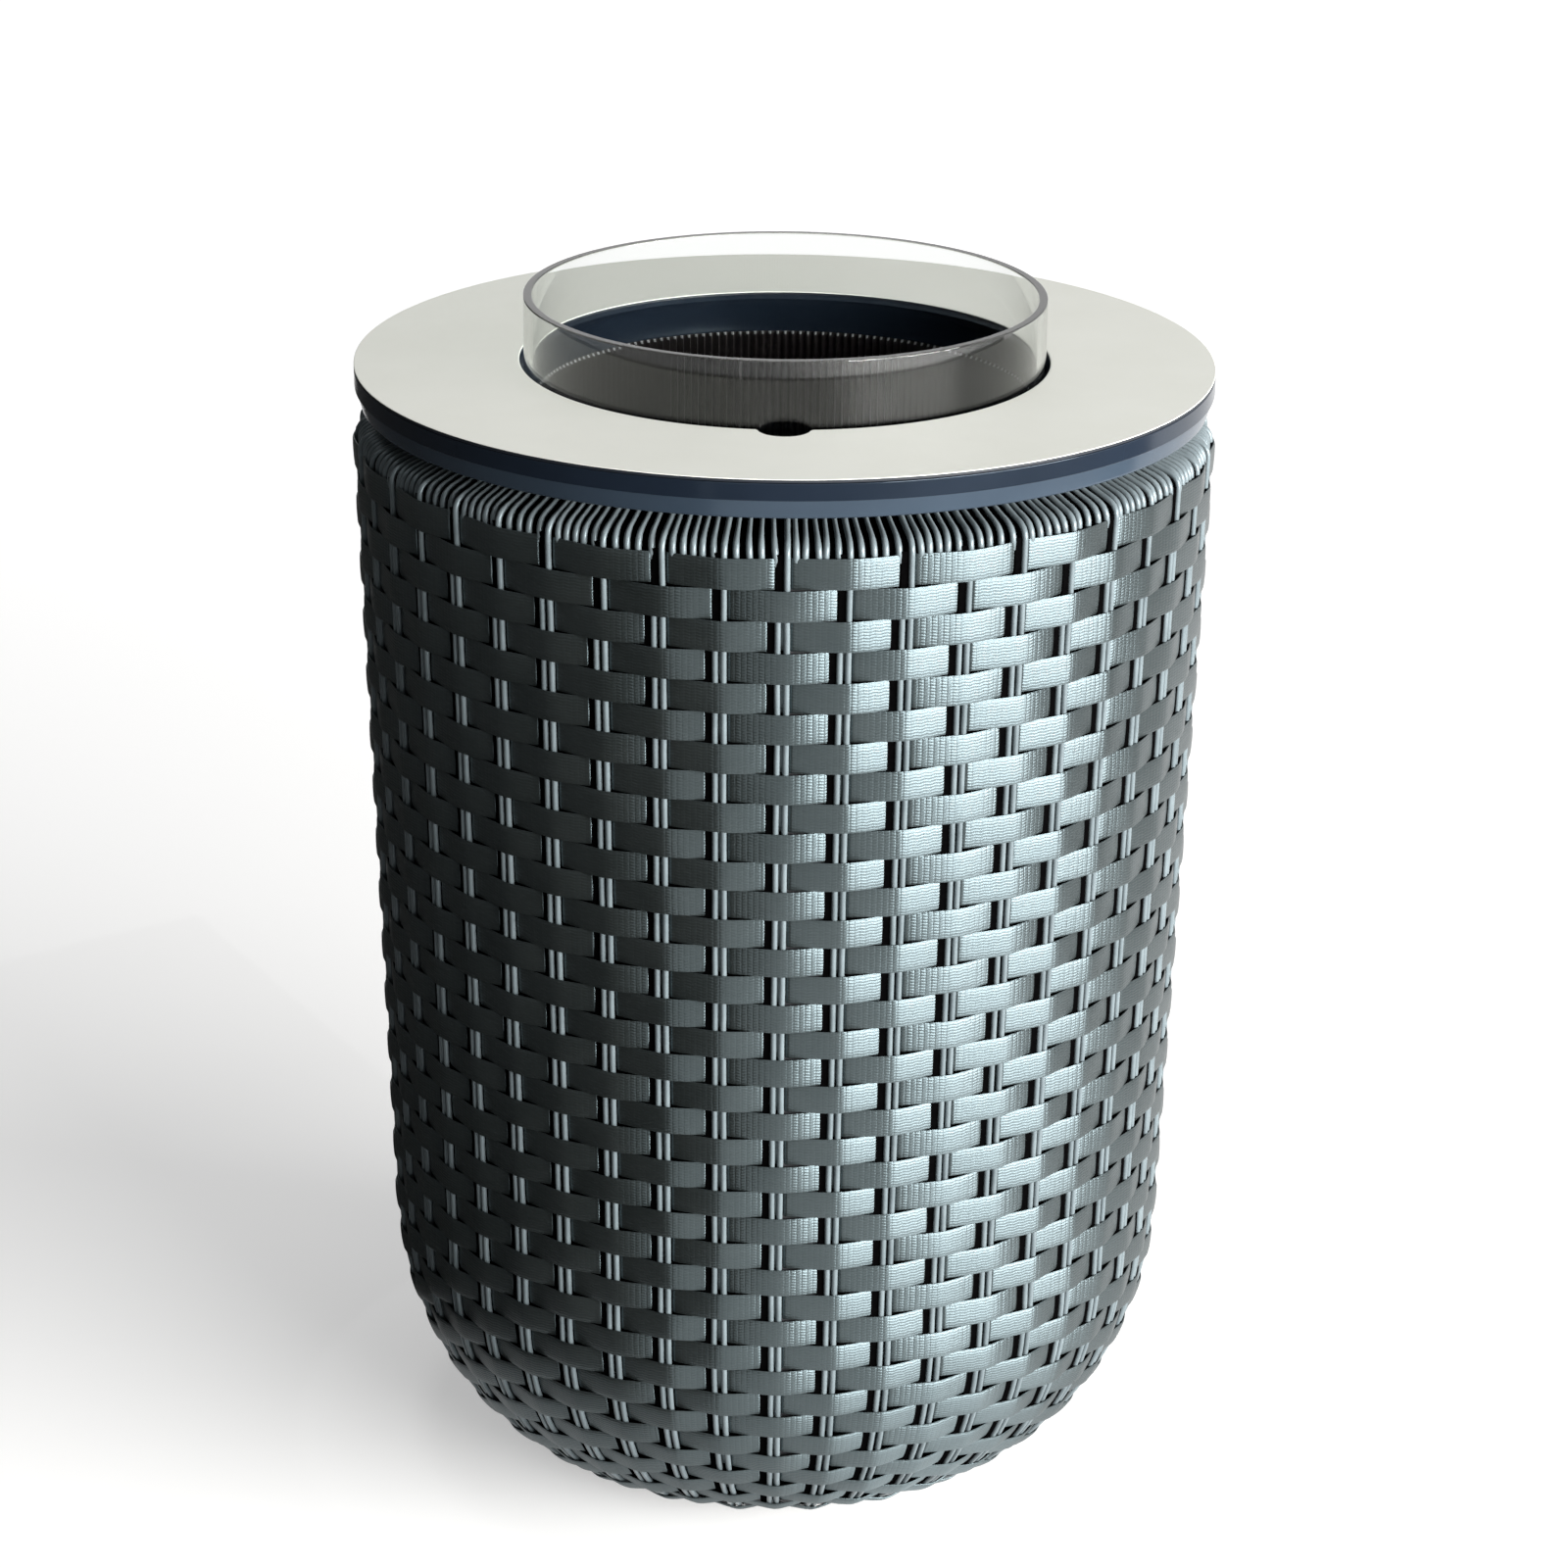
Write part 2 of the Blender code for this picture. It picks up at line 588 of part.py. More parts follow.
def build_flute_cutter(parent, material):
    """Prism that hollows the liner and leaves its upright flutes, one crest at the front."""
    valley = LINER_MOUTH_RADIUS * FACET_FACTOR - FLUTE_SETBACK
    outline = []
    for i in range(2 * FLUTE_COUNT):
        radius = valley - FLUTE_HEIGHT * (1 - i % 2)
        angle = FRONT + i * math.pi / FLUTE_COUNT
        outline.append((radius * math.cos(angle), radius * math.sin(angle)))
    data = extrude_outline(outline, LINER_FLOOR_DEPTH - LINER_LEDGE_DEPTH + SEAT_GAP)
    bmesh.ops.translate(data, vec=(0, 0, -LINER_FLOOR_DEPTH), verts=data.verts)
    return make_object("flute_cutter", data, parent, material)


def build_liner(parent, material):
    """Fluted liner: flange on the basket's rim, centring ring inside it, closed floor."""
    wall_out = LINER_MOUTH_RADIUS + LINER_WALL
    bottom = -LINER_FLOOR_DEPTH - LINER_WALL
    ring_out = RIM_RADIUS - WRAP_RADIUS - SEAT_GAP
    ring_in = ring_out - CENTRING_RING_THICKNESS
    ring_bottom = -FLANGE_UNDERSIDE - CENTRING_RING_DEPTH
    flange_out = RIM_RADIUS + FLANGE_OVERHANG
    profile = [(0, bottom), (wall_out - LINER_CORNER, bottom), (wall_out, bottom + LINER_CORNER),
               (wall_out, -FLANGE_UNDERSIDE), (ring_in, -FLANGE_UNDERSIDE), (ring_in, ring_bottom),
               (ring_out, ring_bottom), (ring_out, -FLANGE_UNDERSIDE),
               (flange_out, -FLANGE_UNDERSIDE), (flange_out, -FLANGE_TOP_DEPTH),
               (LINER_MOUTH_RADIUS, -FLANGE_TOP_DEPTH), (LINER_MOUTH_RADIUS, -LINER_LEDGE_DEPTH),
               (0, -LINER_LEDGE_DEPTH)]
    liner = make_object("cooler_liner", spin_profile(profile, ROUND_SEGMENTS, closed=False), parent,
                        material)
    add_boolean(liner, "DIFFERENCE", build_flute_cutter(parent, material))
    return liner


def build_basket():
    """Frame, woven wall and feet."""
    body_line = BodyLine()
    strand = make_material("strand_weave", (0.13, 0.15, 0.15), 0.5)
    aluminium = make_material("frame_aluminium", (0.10, 0.10, 0.11), 0.45, 0.6)
    plastic = make_material("glide_plastic", (0.03, 0.03, 0.03), 0.6)
    basket = make_empty("basket", None, 0)
    build_rim_tube(basket, aluminium)
    build_rim_wrap(basket, strand)
    build_woven_wall(body_line, basket, strand)
    build_uprights(body_line, basket, aluminium)
    build_band(body_line, basket, aluminium)
    build_base_plate(body_line, basket, aluminium)
    build_glides(body_line, basket, plastic)
    return basket


def build_cooler(basket):
    """Liner, clear bucket and table top, each on its own lifting axis."""
    liner_lift = make_empty("liner_lift", basket, TABLE_HEIGHT)
    bucket_lift = make_empty("bucket_lift", liner_lift, 0)
    top_lift = make_empty("tabletop_lift", liner_lift, 0)
    cream = make_material("cream_top", (0.82, 0.82, 0.76), 0.55)
    navy = make_material("navy_moulding", (0.035, 0.05, 0.085), 0.42)
    black = make_material("liner_plastic", (0.02, 0.018, 0.02), 0.45)
    clear = make_material("clear_acrylic", (0.92, 0.95, 0.93), 0.05, alpha=0.3)
    notch = build_notch_cutter(top_lift, navy)
    build_disc(notch, top_lift, cream)
    build_carrier(notch, top_lift, navy)
    build_bucket(bucket_lift, clear)
    build_liner(liner_lift, black)


def main():
    clear_scene()
    build_cooler(build_basket())


main()
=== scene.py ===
"""Looks of the woven cooler table: straps, strands, mouldings, clear bucket, camera and light."""
import math

import bmesh
import bpy
import numpy as np
from mathutils import Matrix, Vector


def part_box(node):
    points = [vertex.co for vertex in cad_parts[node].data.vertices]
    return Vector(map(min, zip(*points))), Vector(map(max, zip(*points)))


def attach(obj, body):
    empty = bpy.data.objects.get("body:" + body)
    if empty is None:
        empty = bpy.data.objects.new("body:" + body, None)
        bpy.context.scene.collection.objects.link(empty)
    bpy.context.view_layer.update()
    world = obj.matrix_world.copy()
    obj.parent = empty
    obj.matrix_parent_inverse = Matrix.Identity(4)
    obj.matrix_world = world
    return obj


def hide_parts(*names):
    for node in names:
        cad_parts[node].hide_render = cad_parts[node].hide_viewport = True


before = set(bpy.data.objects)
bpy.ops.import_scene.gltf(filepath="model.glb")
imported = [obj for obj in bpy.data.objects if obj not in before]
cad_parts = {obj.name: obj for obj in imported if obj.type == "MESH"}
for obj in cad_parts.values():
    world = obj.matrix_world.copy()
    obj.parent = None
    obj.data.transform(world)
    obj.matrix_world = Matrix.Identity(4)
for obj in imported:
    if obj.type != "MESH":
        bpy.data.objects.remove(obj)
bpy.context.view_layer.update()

MM = 0.001
FRONT = -math.pi / 2

# Sizes read from the frame
DISC_LOW, DISC_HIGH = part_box("tabletop_disc")
BUCKET_LOW, BUCKET_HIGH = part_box("clear_bucket")
LINER_LOW, LINER_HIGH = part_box("cooler_liner")
CARRIER_LOW, CARRIER_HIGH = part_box("top_carrier")
TUBE_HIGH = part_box("rim_tube")[1]
PLATE_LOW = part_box("base_plate")[0]
TOP = DISC_HIGH.z
TABLE_RADIUS = DISC_HIGH.y
BUCKET_RADIUS = BUCKET_HIGH.y
OPENING_RADIUS = BUCKET_RADIUS + 2 * MM
SEAT_GAP = 0.3 * MM

# Table top
CARRIER_WALL = 3 * MM
SKIRT_STEP_DEPTH = 9.7 * MM
SKIRT_STEP_WIDTH = 0.8 * MM
SKIRT_TAPER = 2.2 * MM
SKIRT_DEPTH = 18.3 * MM
COLLAR_LIP_DEPTH = 3.9 * MM
COLLAR_COVE_WIDTH = 2.2 * MM
COLLAR_COVE_DEPTH = 8.5 * MM
EDGE_FACE = 0.3 * MM
NOTCH_WIDTH = 22 * MM
NOTCH_SHOULDER = 0.14
NOTCH_DEPTH = 10.5 * MM
RIB_COUNT = 12
RIB_HALF_WIDTH = 1.25 * MM
RIB_INTO_COLLAR = 0.5 * MM
RIB_INTO_SKIRT = 1 * MM
RIB_INTO_PLATE = 0.5 * MM
TOP_COLUMNS = 736
BUCKET_COLUMNS = 368

# Bucket and liner
BUCKET_WALL = 4 * MM
BUCKET_FLOOR = 5 * MM
LINER_WALL = 2.5 * MM
LINER_MOUTH_GAP = 0.8 * MM
LINER_RING_GAP = 3.3 * MM
LINER_RING_DEPTH = 11 * MM
FLUTE_COUNT = 208
FLUTE_HEIGHT = 3.5 * MM
TIP_HEIGHT = 1.2 * MM
FLUTE_SETBACK = 0.4 * MM
FLUTE_SAMPLES = 6
FLUTE_SHARPNESS = 1.5
FLUTE_GROWTH = (0.62, 0.84, 0.98, 1, 1, 1)

# Basket
STAKE_COUNT = 46
STAKE_ANGLE = 2 * math.pi / STAKE_COUNT
WALL_TOP_DEPTH = 35.5 * MM
WALL_TOP_RADIUS = TABLE_RADIUS + 1.4 * MM
WALL_DRAFT = 0.0318
ROUNDING_HEIGHT = 145 * MM
ROUNDING_EXPONENT = 2.25
ROUNDING_OVERRUN = 9 * MM
ROUNDING_FLAT_RADIUS = 60.6 * MM
STRAP_PITCH_TOP = 14.35 * MM
STRAP_PITCH_LOSS = 0.053 * MM
STRAP_PITCH_LEAST = 13.2 * MM
STRAP_GAP = 0.25 * MM
STRAP_THICKNESS = 0.9 * MM
STRAP_CROWN = 0.25 * MM
STRAP_SHARES = np.array([-1.0, -0.86, -0.45, 0.0, 0.45, 0.86, 1.0])
STRAP_SWAY = 0.12 * MM
STRAP_LEAN = 0.10 * MM
RIDGE_PITCH = 1.42 * MM
RIDGE_SWAY = 0.17 * MM
CREASE_PITCH = 5.2 * MM
CREASE_SHARE = 0.7
STRAND_RADIUS = 1.4 * MM
STRAND_SPACING = 3.8 * MM
STRAND_SIDES = 10
STRAND_STEP = 7 * MM
STRAND_WANDER = 0.05 * MM
STAKE_DEPTH = STRAP_THICKNESS + 0.3 * MM + STRAND_RADIUS
BAR_WIDTH = 3.5 * MM
BAR_DEPTH = 2.8 * MM
BAR_THICKNESS = 1.1 * MM
BAR_CENTRE = -4.75 * MM
BAR_START = -1.5 * MM
BAR_STEP = 3 * MM
BASE_CLEARANCE = 4 * MM
PAIR_START_OFFSET = 3 * MM
PAIR_STARTS_BELOW_ROW = 2
LINING_DEPTH = 5.2 * MM
LINING_THICKNESS = 0.5 * MM
LINING_COLUMNS = 184
RIM_TUBE_RADIUS = 10.4 * MM
RIM_RADIUS = TUBE_HIGH.y - RIM_TUBE_RADIUS
RIM_HEIGHT = TOP - 33 * MM
WRAP_STRAND_RADIUS = 1.5 * MM
WRAPS_BETWEEN_STAKES = (5, 4)
WRAP_START = 0.09
WRAP_SPAN = 0.93
WRAP_FIRST = 0.75
WRAP_SPREAD = 0.6

# Stage
ROOM_LEVEL = 0.09
FLOOR_RADIUS = 14
FLOOR_DROP = 0.5 * MM
FLOOR_GLOW = 0.42
FLOOR_GLOW_START = 0.86
FLOOR_GLOW_LOW = 0.5
FLOOR_GLOW_HIGH = 2.6
FLAG_START = -18
FLAG_END = -150
FLAG_STEPS = 24
FLAG_NEAR = 0.24
FLAG_FAR = 0.75
FLAG_HEIGHT = 1.1
SIDE_CARD_START = -18
SIDE_CARD_END = 108
SIDE_CARD_NEAR = 0.9
SIDE_CARD_FAR = 3.1
KEY_AZIMUTH = 52
KEY_ELEVATION = 9
KEY_DISTANCE = 3.2
KEY_WIDTH = 3.2
KEY_HEIGHT = 0.95
KEY_RADIANCE = 48.0
TOP_LIGHT_HEIGHT = 3.0
TOP_LIGHT_SIZE = 1.3
TOP_LIGHT_POWER = 24

# Camera fitted to the photograph: place, aim and lens
CAMERA_DISTANCE = 2.0821
CAMERA_ELEVATION = 0.2629
CAMERA_YAW = 0.00087
CAMERA_PITCH = 0.09575
CAMERA_ROLL = 0.01087
CAMERA_LENS = 102.21
SENSOR_WIDTH = 36.0


def add_object(name, mesh, material, body, slot, *nodes):
    """Link a mesh, give it its finish and hang it on its body."""
    mesh.materials.append(material)
    obj = bpy.data.objects.new(name, mesh)
    bpy.context.scene.collection.objects.link(obj)
    if nodes:
        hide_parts(*nodes)
    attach(obj, body)
    return obj


def smooth_mesh(name, points, faces, smooth_angle):
    """Mesh from lists of points and faces, smooth where it is round."""
    mesh = bpy.data.meshes.new(name)
    mesh.from_pydata(points, [], faces)
    mesh.shade_smooth()
    mesh.set_sharp_from_angle(angle=math.radians(smooth_angle))
    return mesh


def mesh_from(name, points, faces, smooth_angle=40, uvs=None):
    """Smooth mesh from arrays of points and faces, with an optional texture map."""
    mesh = smooth_mesh(name, np.asarray(points).tolist(), np.asarray(faces).tolist(), smooth_angle)
    if uvs is not None:
        layer = mesh.uv_layers.new(name="along_across")
        layer.data.foreach_set("uv", np.asarray(uvs, np.float32).ravel())
    return mesh


def finish_faces(mesh, material, chosen):
    """Give the faces whose centre passes the test a second finish."""
    mesh.materials.append(material)
    for polygon in mesh.polygons:
        centre = polygon.center
        if chosen(math.hypot(centre.x, centre.y), centre.z):
            polygon.material_index = 1


def grid_faces(rows, columns, wrap_rows, offset=0):
    """Quads of a grid of points that runs round in its columns, and in its rows if asked."""
    last = rows if wrap_rows else rows - 1
    i, j = np.meshgrid(np.arange(last), np.arange(columns), indexing="ij")
    below = (i + 1) % rows
    right = (j + 1) % columns
    quads = np.stack([i * columns + j, i * columns + right, below * columns + right,
                      below * columns + j], axis=-1)
    return quads.reshape(-1, 4) + offset


def turned_points(profile, columns, radius_shift=None):
    """Points of a profile turned about the axis; a shift can move each column's radius."""
    angles = FRONT + 2 * np.pi * np.arange(columns) / columns
    radii = np.array([p[0] for p in profile])[:, None] * np.ones(columns)[None, :]
    if radius_shift is not None:
        radii = radii + radius_shift(np.arange(len(profile)), angles)
    heights = np.array([p[1] for p in profile])[:, None] * np.ones(columns)[None, :]
    return np.stack([radii * np.cos(angles), radii * np.sin(angles), heights], axis=-1)


def turned_mesh(name, profile, columns, radius_shift=None, smooth_angle=40):
    """Closed turned shape from a profile that runs round its own section."""
    points = turned_points(profile, columns, radius_shift)
    faces = grid_faces(len(profile), columns, True)
    return mesh_from(name, points.reshape(-1, 3), faces, smooth_angle)


def turned_vessel(name, profile, columns, radius_shift=None, smooth_angle=40):
    """Turned shape whose profile starts and ends on the axis."""
    ring_points = turned_points(profile[1:-1], columns, radius_shift).reshape(-1, 3)
    rings = len(profile) - 2
    points = np.vstack([ring_points, [[0, 0, profile[0][1]], [0, 0, profile[-1][1]]]])
    faces = grid_faces(rings, columns, False).tolist()
    first, last = len(ring_points), len(ring_points) + 1
    end = (rings - 1) * columns
    for j in range(columns):
        after = (j + 1) % columns
        faces.append([first, after, j])
        faces.append([last, end + j, end + after])
    return smooth_mesh(name, points.tolist(), faces, smooth_angle)


def rounded_corner(corner, before, after, radius, steps=3):
    """Points of a small round where two edges meet, held by a point beside it on a long edge."""
    corner, before, after = Vector(corner), Vector(before), Vector(after)
    back, ahead = before - corner, after - corner
    start = corner + back.normalized() * radius
    end = corner + ahead.normalized() * radius
    points = []
    for i in range(steps + 1):
        t = i / steps
        points.append(tuple(start * (1 - t) ** 2 + corner * 2 * t * (1 - t) + end * t ** 2))
    if back.length > 5 * radius:
        points.insert(0, tuple(corner + back.normalized() * radius * 1.8))
    if ahead.length > 5 * radius:
        points.append(tuple(corner + ahead.normalized() * radius * 1.8))
    return points


def round_profile(profile, radii):
    """Profile with the corners that a dictionary names rounded."""
    points = []
    count = len(profile)
    for i, corner in enumerate(profile):
        if i in radii:
            points += rounded_corner(corner, profile[i - 1], profile[(i + 1) % count], radii[i])
        else:
            points.append(tuple(corner))
    return points


def notch_reach(angles, radius):
    """How far the finger notch reaches past the opening's edge in each direction."""
    x = radius * np.sin(angles - FRONT)
    near = np.cos(angles - FRONT) > 0
    share = np.abs(x) / (NOTCH_WIDTH / 2)
    arc = np.sqrt(np.clip(1 - share ** 2, 0, 1))
    edge = np.sqrt(1 - (1 - NOTCH_SHOULDER) ** 2)
    fade = np.clip((1 + NOTCH_SHOULDER - share) / (2 * NOTCH_SHOULDER), 0, 1)
    reach = np.where(share < 1 - NOTCH_SHOULDER, arc, edge * fade ** 2 * (3 - 2 * fade))
    return np.where(near, NOTCH_DEPTH * reach, 0)


def notch_shift(is_inner):
    """Radius shift that opens the notch in the profile points that lie on the opening."""
    def shift(indices, angles):
        inner = np.array([is_inner(i) for i in indices])
        return inner[:, None] * notch_reach(angles, OPENING_RADIUS)[None, :]
    return shift


# Materials


class Nodes:
    """Small helper to wire a material."""

    def __init__(self, name, colour, roughness):
        self.material = bpy.data.materials.new(name)
        self.material.use_nodes = True
        self.tree = self.material.node_tree
        self.shader = self.tree.nodes["Principled BSDF"]
        self.shader.inputs["Base Color"].default_value = (*colour, 1)
        self.shader.inputs["Roughness"].default_value = roughness

    def node(self, kind, **inputs):
        made = self.tree.nodes.new(kind)
        for key, value in inputs.items():
            self.feed(made, key, value)
        return made

    def feed(self, target, key, value):
        """Set a socket to a number, or link an output to it."""
        socket = target.inputs[int(key[1:])] if key[0] == "i" and key[1:].isdigit() else (
            target.inputs[key.replace("_", " ")])
        if isinstance(value, bpy.types.NodeSocket):
            self.tree.links.new(value, socket)
        else:
            socket.default_value = value

    def place(self):
        return self.node("ShaderNodeTexCoord").outputs["Object"]

    def noise(self, scale, detail):
        made = self.node("ShaderNodeTexNoise", Scale=scale, Detail=detail, Roughness=0.55,
                         Vector=self.place())
        return made.outputs["Fac"]

    def ramp(self, fac, low, high, start=0.0, end=1.0):
        """Number that runs from low to high as fac runs from start to end."""
        made = self.node("ShaderNodeMapRange", i0=fac, i1=start, i2=end, i3=low, i4=high)
        return made.outputs[0]

    def math(self, operation, first, second=0.0):
        made = self.tree.nodes.new("ShaderNodeMath")
        made.operation = operation
        self.feed(made, "i0", first)
        self.feed(made, "i1", second)
        return made.outputs[0]

    def mix(self, fac, first, second):
        """Mix of two colours."""
        made = self.tree.nodes.new("ShaderNodeMix")
        made.data_type = "RGBA"
        self.feed(made, "i0", fac)
        made.inputs[6].default_value = (*first, 1)
        made.inputs[7].default_value = (*second, 1)
        return made.outputs[2]

    def colour(self, value):
        self.tree.links.new(value, self.shader.inputs["Base Color"])

    def roughness(self, value):
        self.tree.links.new(value, self.shader.inputs["Roughness"])

    def bump(self, height, distance, strength=1.0):
        made = self.node("ShaderNodeBump", Height=height, Distance=distance, Strength=strength)
        self.tree.links.new(made.outputs["Normal"], self.shader.inputs["Normal"])


def cream_material():
    """Matt laminate with a faint mottle and a fine pressed grain."""
    n = Nodes("cream_laminate", (0.80, 0.80, 0.73), 0.5)
    mottle = n.noise(14, 4)
    n.colour(n.mix(n.ramp(mottle, 0, 1, 0.3, 0.7), (0.80, 0.81, 0.745), (0.84, 0.85, 0.79)))
    grain = n.noise(1400, 2)
    n.roughness(n.ramp(n.noise(60, 3), 0.44, 0.56))
    n.bump(grain, 0.03 * MM, 0.6)
    return n.material


def navy_material(name, dark, light):
    """Satin moulded plastic with a light grain and rubbed patches."""
    n = Nodes(name, dark, 0.16)
    n.shader.inputs["Specular IOR Level"].default_value = 0.25
    n.shader.inputs["Specular Tint"].default_value = (0.72, 0.87, 1.0, 1.0)
    wear = n.noise(16, 4)
    n.colour(n.mix(n.ramp(wear, 0, 1, 0.3, 0.7), dark, light))
    n.roughness(n.ramp(n.noise(25, 3), 0.13, 0.19))
    n.bump(n.noise(1800, 2), 0.02 * MM, 0.5)
    return n.material


def core_material():
    """Dark core of the laminate, which shows at its edge."""
    n = Nodes("laminate_core", (0.010, 0.012, 0.018), 0.5)
    n.shader.inputs["Specular IOR Level"].default_value = 0.25
    n.colour(n.mix(n.noise(120, 3), (0.007, 0.009, 0.013), (0.014, 0.017, 0.024)))
    n.roughness(n.ramp(n.noise(300, 2), 0.42, 0.58))
    n.bump(n.noise(900, 2), 0.03 * MM, 0.5)
    return n.material


def acrylic_material():
    """Clear acrylic with faint smears, which throws no bright ring on the table top."""
    n = Nodes("clear_acrylic", (0.93, 0.945, 0.935), 0.03)
    n.shader.inputs["Transmission Weight"].default_value = 1.0
    n.shader.inputs["IOR"].default_value = 1.49
    n.roughness(n.ramp(n.noise(45, 4), 0.0, 0.05, 0.4, 0.8))
    n.bump(n.noise(22, 2), 0.05 * MM, 0.3)
    clear = n.node("ShaderNodeBsdfTransparent", Color=(0.93, 0.94, 0.935, 1))
    path = n.node("ShaderNodeLightPath")
    passed = n.math("MAXIMUM", path.outputs["Is Shadow Ray"], path.outputs["Is Diffuse Ray"])
    mixed = n.node("ShaderNodeMixShader", i0=passed, i1=n.shader.outputs[0], i2=clear.outputs[0])
    n.tree.links.new(mixed.outputs[0], n.tree.nodes["Material Output"].inputs["Surface"])
    return n.material


def liner_material():
    """Dark brown-black moulded plastic."""
    n = Nodes("liner_moulded", (0.014, 0.011, 0.011), 0.36)
    n.colour(n.mix(n.noise(50, 3), (0.011, 0.009, 0.010), (0.022, 0.018, 0.018)))
    n.roughness(n.ramp(n.noise(90, 3), 0.28, 0.44))
    n.bump(n.noise(1500, 2), 0.02 * MM, 0.5)
    return n.material


def tip_highlight_material():
    """Pale colour on the ends of the liner's flutes: a painted highlight, standing in for the light
    from above that catches them.
    """
    n = Nodes("liner_tips_painted_highlight", (0.42, 0.42, 0.44), 0.25)
    n.colour(n.mix(n.noise(400, 3), (0.32, 0.32, 0.34), (0.55, 0.55, 0.57)))
    n.roughness(n.ramp(n.noise(300, 2), 0.2, 0.32))
    n.bump(n.noise(1500, 2), 0.02 * MM, 0.5)
    return n.material


def strand_material():
    """Round resin strand, silver grey, with streaks along it."""
    n = Nodes("round_strand", (0.12, 0.142, 0.158), 0.36)
    n.shader.inputs["Specular Tint"].default_value = (0.80, 0.94, 1.0, 1.0)
    tint = n.noise(70, 4)
    n.colour(n.mix(n.ramp(tint, 0, 1, 0.3, 0.7), (0.086, 0.105, 0.114), (0.122, 0.147, 0.158)))
    n.roughness(n.ramp(n.noise(300, 3), 0.28, 0.42))
    n.bump(n.noise(900, 3), 0.05 * MM, 0.5)
    return n.material


def strap_material():
    """Flat resin strap with wavy ridges along it, creased where they turn."""
    n = Nodes("flat_strap", (0.015, 0.016, 0.015), 0.4)
    tangent = n.node("ShaderNodeTangent")
    tangent.direction_type = "RADIAL"
    tangent.axis = "Z"
    n.tree.links.new(tangent.outputs["Tangent"], n.shader.inputs["Tangent"])
    n.shader.inputs["Specular IOR Level"].default_value = 1.0
    n.shader.inputs["Specular Tint"].default_value = (0.65, 0.83, 0.90, 1.0)
    n.shader.inputs["IOR"].default_value = 1.62
    n.shader.inputs["Anisotropic"].default_value = 0.9
    n.shader.inputs["Anisotropic Rotation"].default_value = 0.25
    uv = n.node("ShaderNodeUVMap")
    uv.uv_map = "along_across"
    parts = n.node("ShaderNodeSeparateXYZ", Vector=uv.outputs["UV"])
    along, across = parts.outputs[0], parts.outputs[1]
    sway = n.math("SINE", n.math("MULTIPLY", along, 2 * math.pi / CREASE_PITCH))
    line = n.math("ADD", across, n.math("MULTIPLY", sway, RIDGE_SWAY))
    ridge = n.math("SINE", n.math("MULTIPLY", line, 2 * math.pi / RIDGE_PITCH))
    crease = n.math("POWER", n.math("MULTIPLY", sway, sway), 4.0)
    relief = n.math("SUBTRACT", ridge, n.math("MULTIPLY", crease, CREASE_SHARE))
    height = n.math("ADD", relief, n.math("MULTIPLY", n.noise(500, 2), 0.25))
    n.bump(height, 0.05 * MM, 1.0)
    tone = n.noise(28, 4)
    shade = n.ramp(tone, 0.0, 1.0, 0.3, 0.7)
    n.colour(n.mix(shade, (0.008, 0.0095, 0.009), (0.014, 0.016, 0.0155)))
    n.roughness(n.ramp(n.noise(200, 3), 0.35, 0.43))
    return n.material


def coat_material():
    """Dark powder coat on the hidden frame."""
    n = Nodes("dark_powder_coat", (0.02, 0.02, 0.022), 0.5)
    n.colour(n.mix(n.noise(80, 3), (0.014, 0.014, 0.016), (0.028, 0.028, 0.032)))
    n.roughness(n.ramp(n.noise(400, 2), 0.42, 0.58))
    n.bump(n.noise(1100, 2), 0.05 * MM, 0.5)
    return n.material


def lining_and_shade_material():
    """Dark matt finish of the lining and the hoop; on the bars behind the weave it is painted shade,
    near black so that the slit beside each stake reads as shadow.
    """
    n = Nodes("dark_lining_and_painted_shade", (0.006, 0.005, 0.005), 0.9)
    n.shader.inputs["Specular IOR Level"].default_value = 0.0
    n.colour(n.mix(n.noise(400, 4), (0.0005, 0.0005, 0.0006), (0.0018, 0.0017, 0.0018)))
    n.bump(n.noise(1500, 3), 0.1 * MM, 0.7)
    return n.material


def glide_material():
    """Black plastic of the glides, scuffed underneath."""
    n = Nodes("glide_plastic", (0.02, 0.02, 0.02), 0.55)
    n.colour(n.mix(n.noise(160, 4), (0.014, 0.014, 0.014), (0.035, 0.034, 0.032)))
    n.roughness(n.ramp(n.noise(220, 3), 0.45, 0.7))
    n.bump(n.noise(900, 3), 0.05 * MM, 0.6)
    return n.material


def seen_rays(tree):
    """1 for rays that look, reflect or pass through glass, and 0 for those that gather light."""
    path = tree.nodes.new("ShaderNodeLightPath")
    first = tree.nodes.new("ShaderNodeMath")
    second = tree.nodes.new("ShaderNodeMath")
    for node in (first, second):
        node.operation = "MAXIMUM"
    tree.links.new(path.outputs["Is Camera Ray"], first.inputs[0])
    tree.links.new(path.outputs["Is Glossy Ray"], first.inputs[1])
    tree.links.new(first.outputs[0], second.inputs[0])
    tree.links.new(path.outputs["Is Transmission Ray"], second.inputs[1])
    return second.outputs[0]


def floor_material():
    """Pale matt floor, lighter where it is looked at than where it gives light back."""
    n = Nodes("pale_floor", (0.6, 0.6, 0.6), 0.8)
    seen = seen_rays(n.tree)
    n.colour(n.mix(seen, (0.32, 0.32, 0.32), (0.62, 0.62, 0.617)))
    far = n.node("ShaderNodeVectorMath", i0=n.place())
    far.operation = "LENGTH"
    glow = n.ramp(far.outputs["Value"], FLOOR_GLOW, FLOOR_GLOW_START, FLOOR_GLOW_LOW, FLOOR_GLOW_HIGH)
    n.shader.inputs["Emission Color"].default_value = (1, 1, 1, 1)
    n.tree.links.new(n.math("MULTIPLY", seen, glow), n.shader.inputs["Emission Strength"])
    n.bump(n.noise(90, 3), 0.1 * MM, 0.2)
    return n.material


# Table top


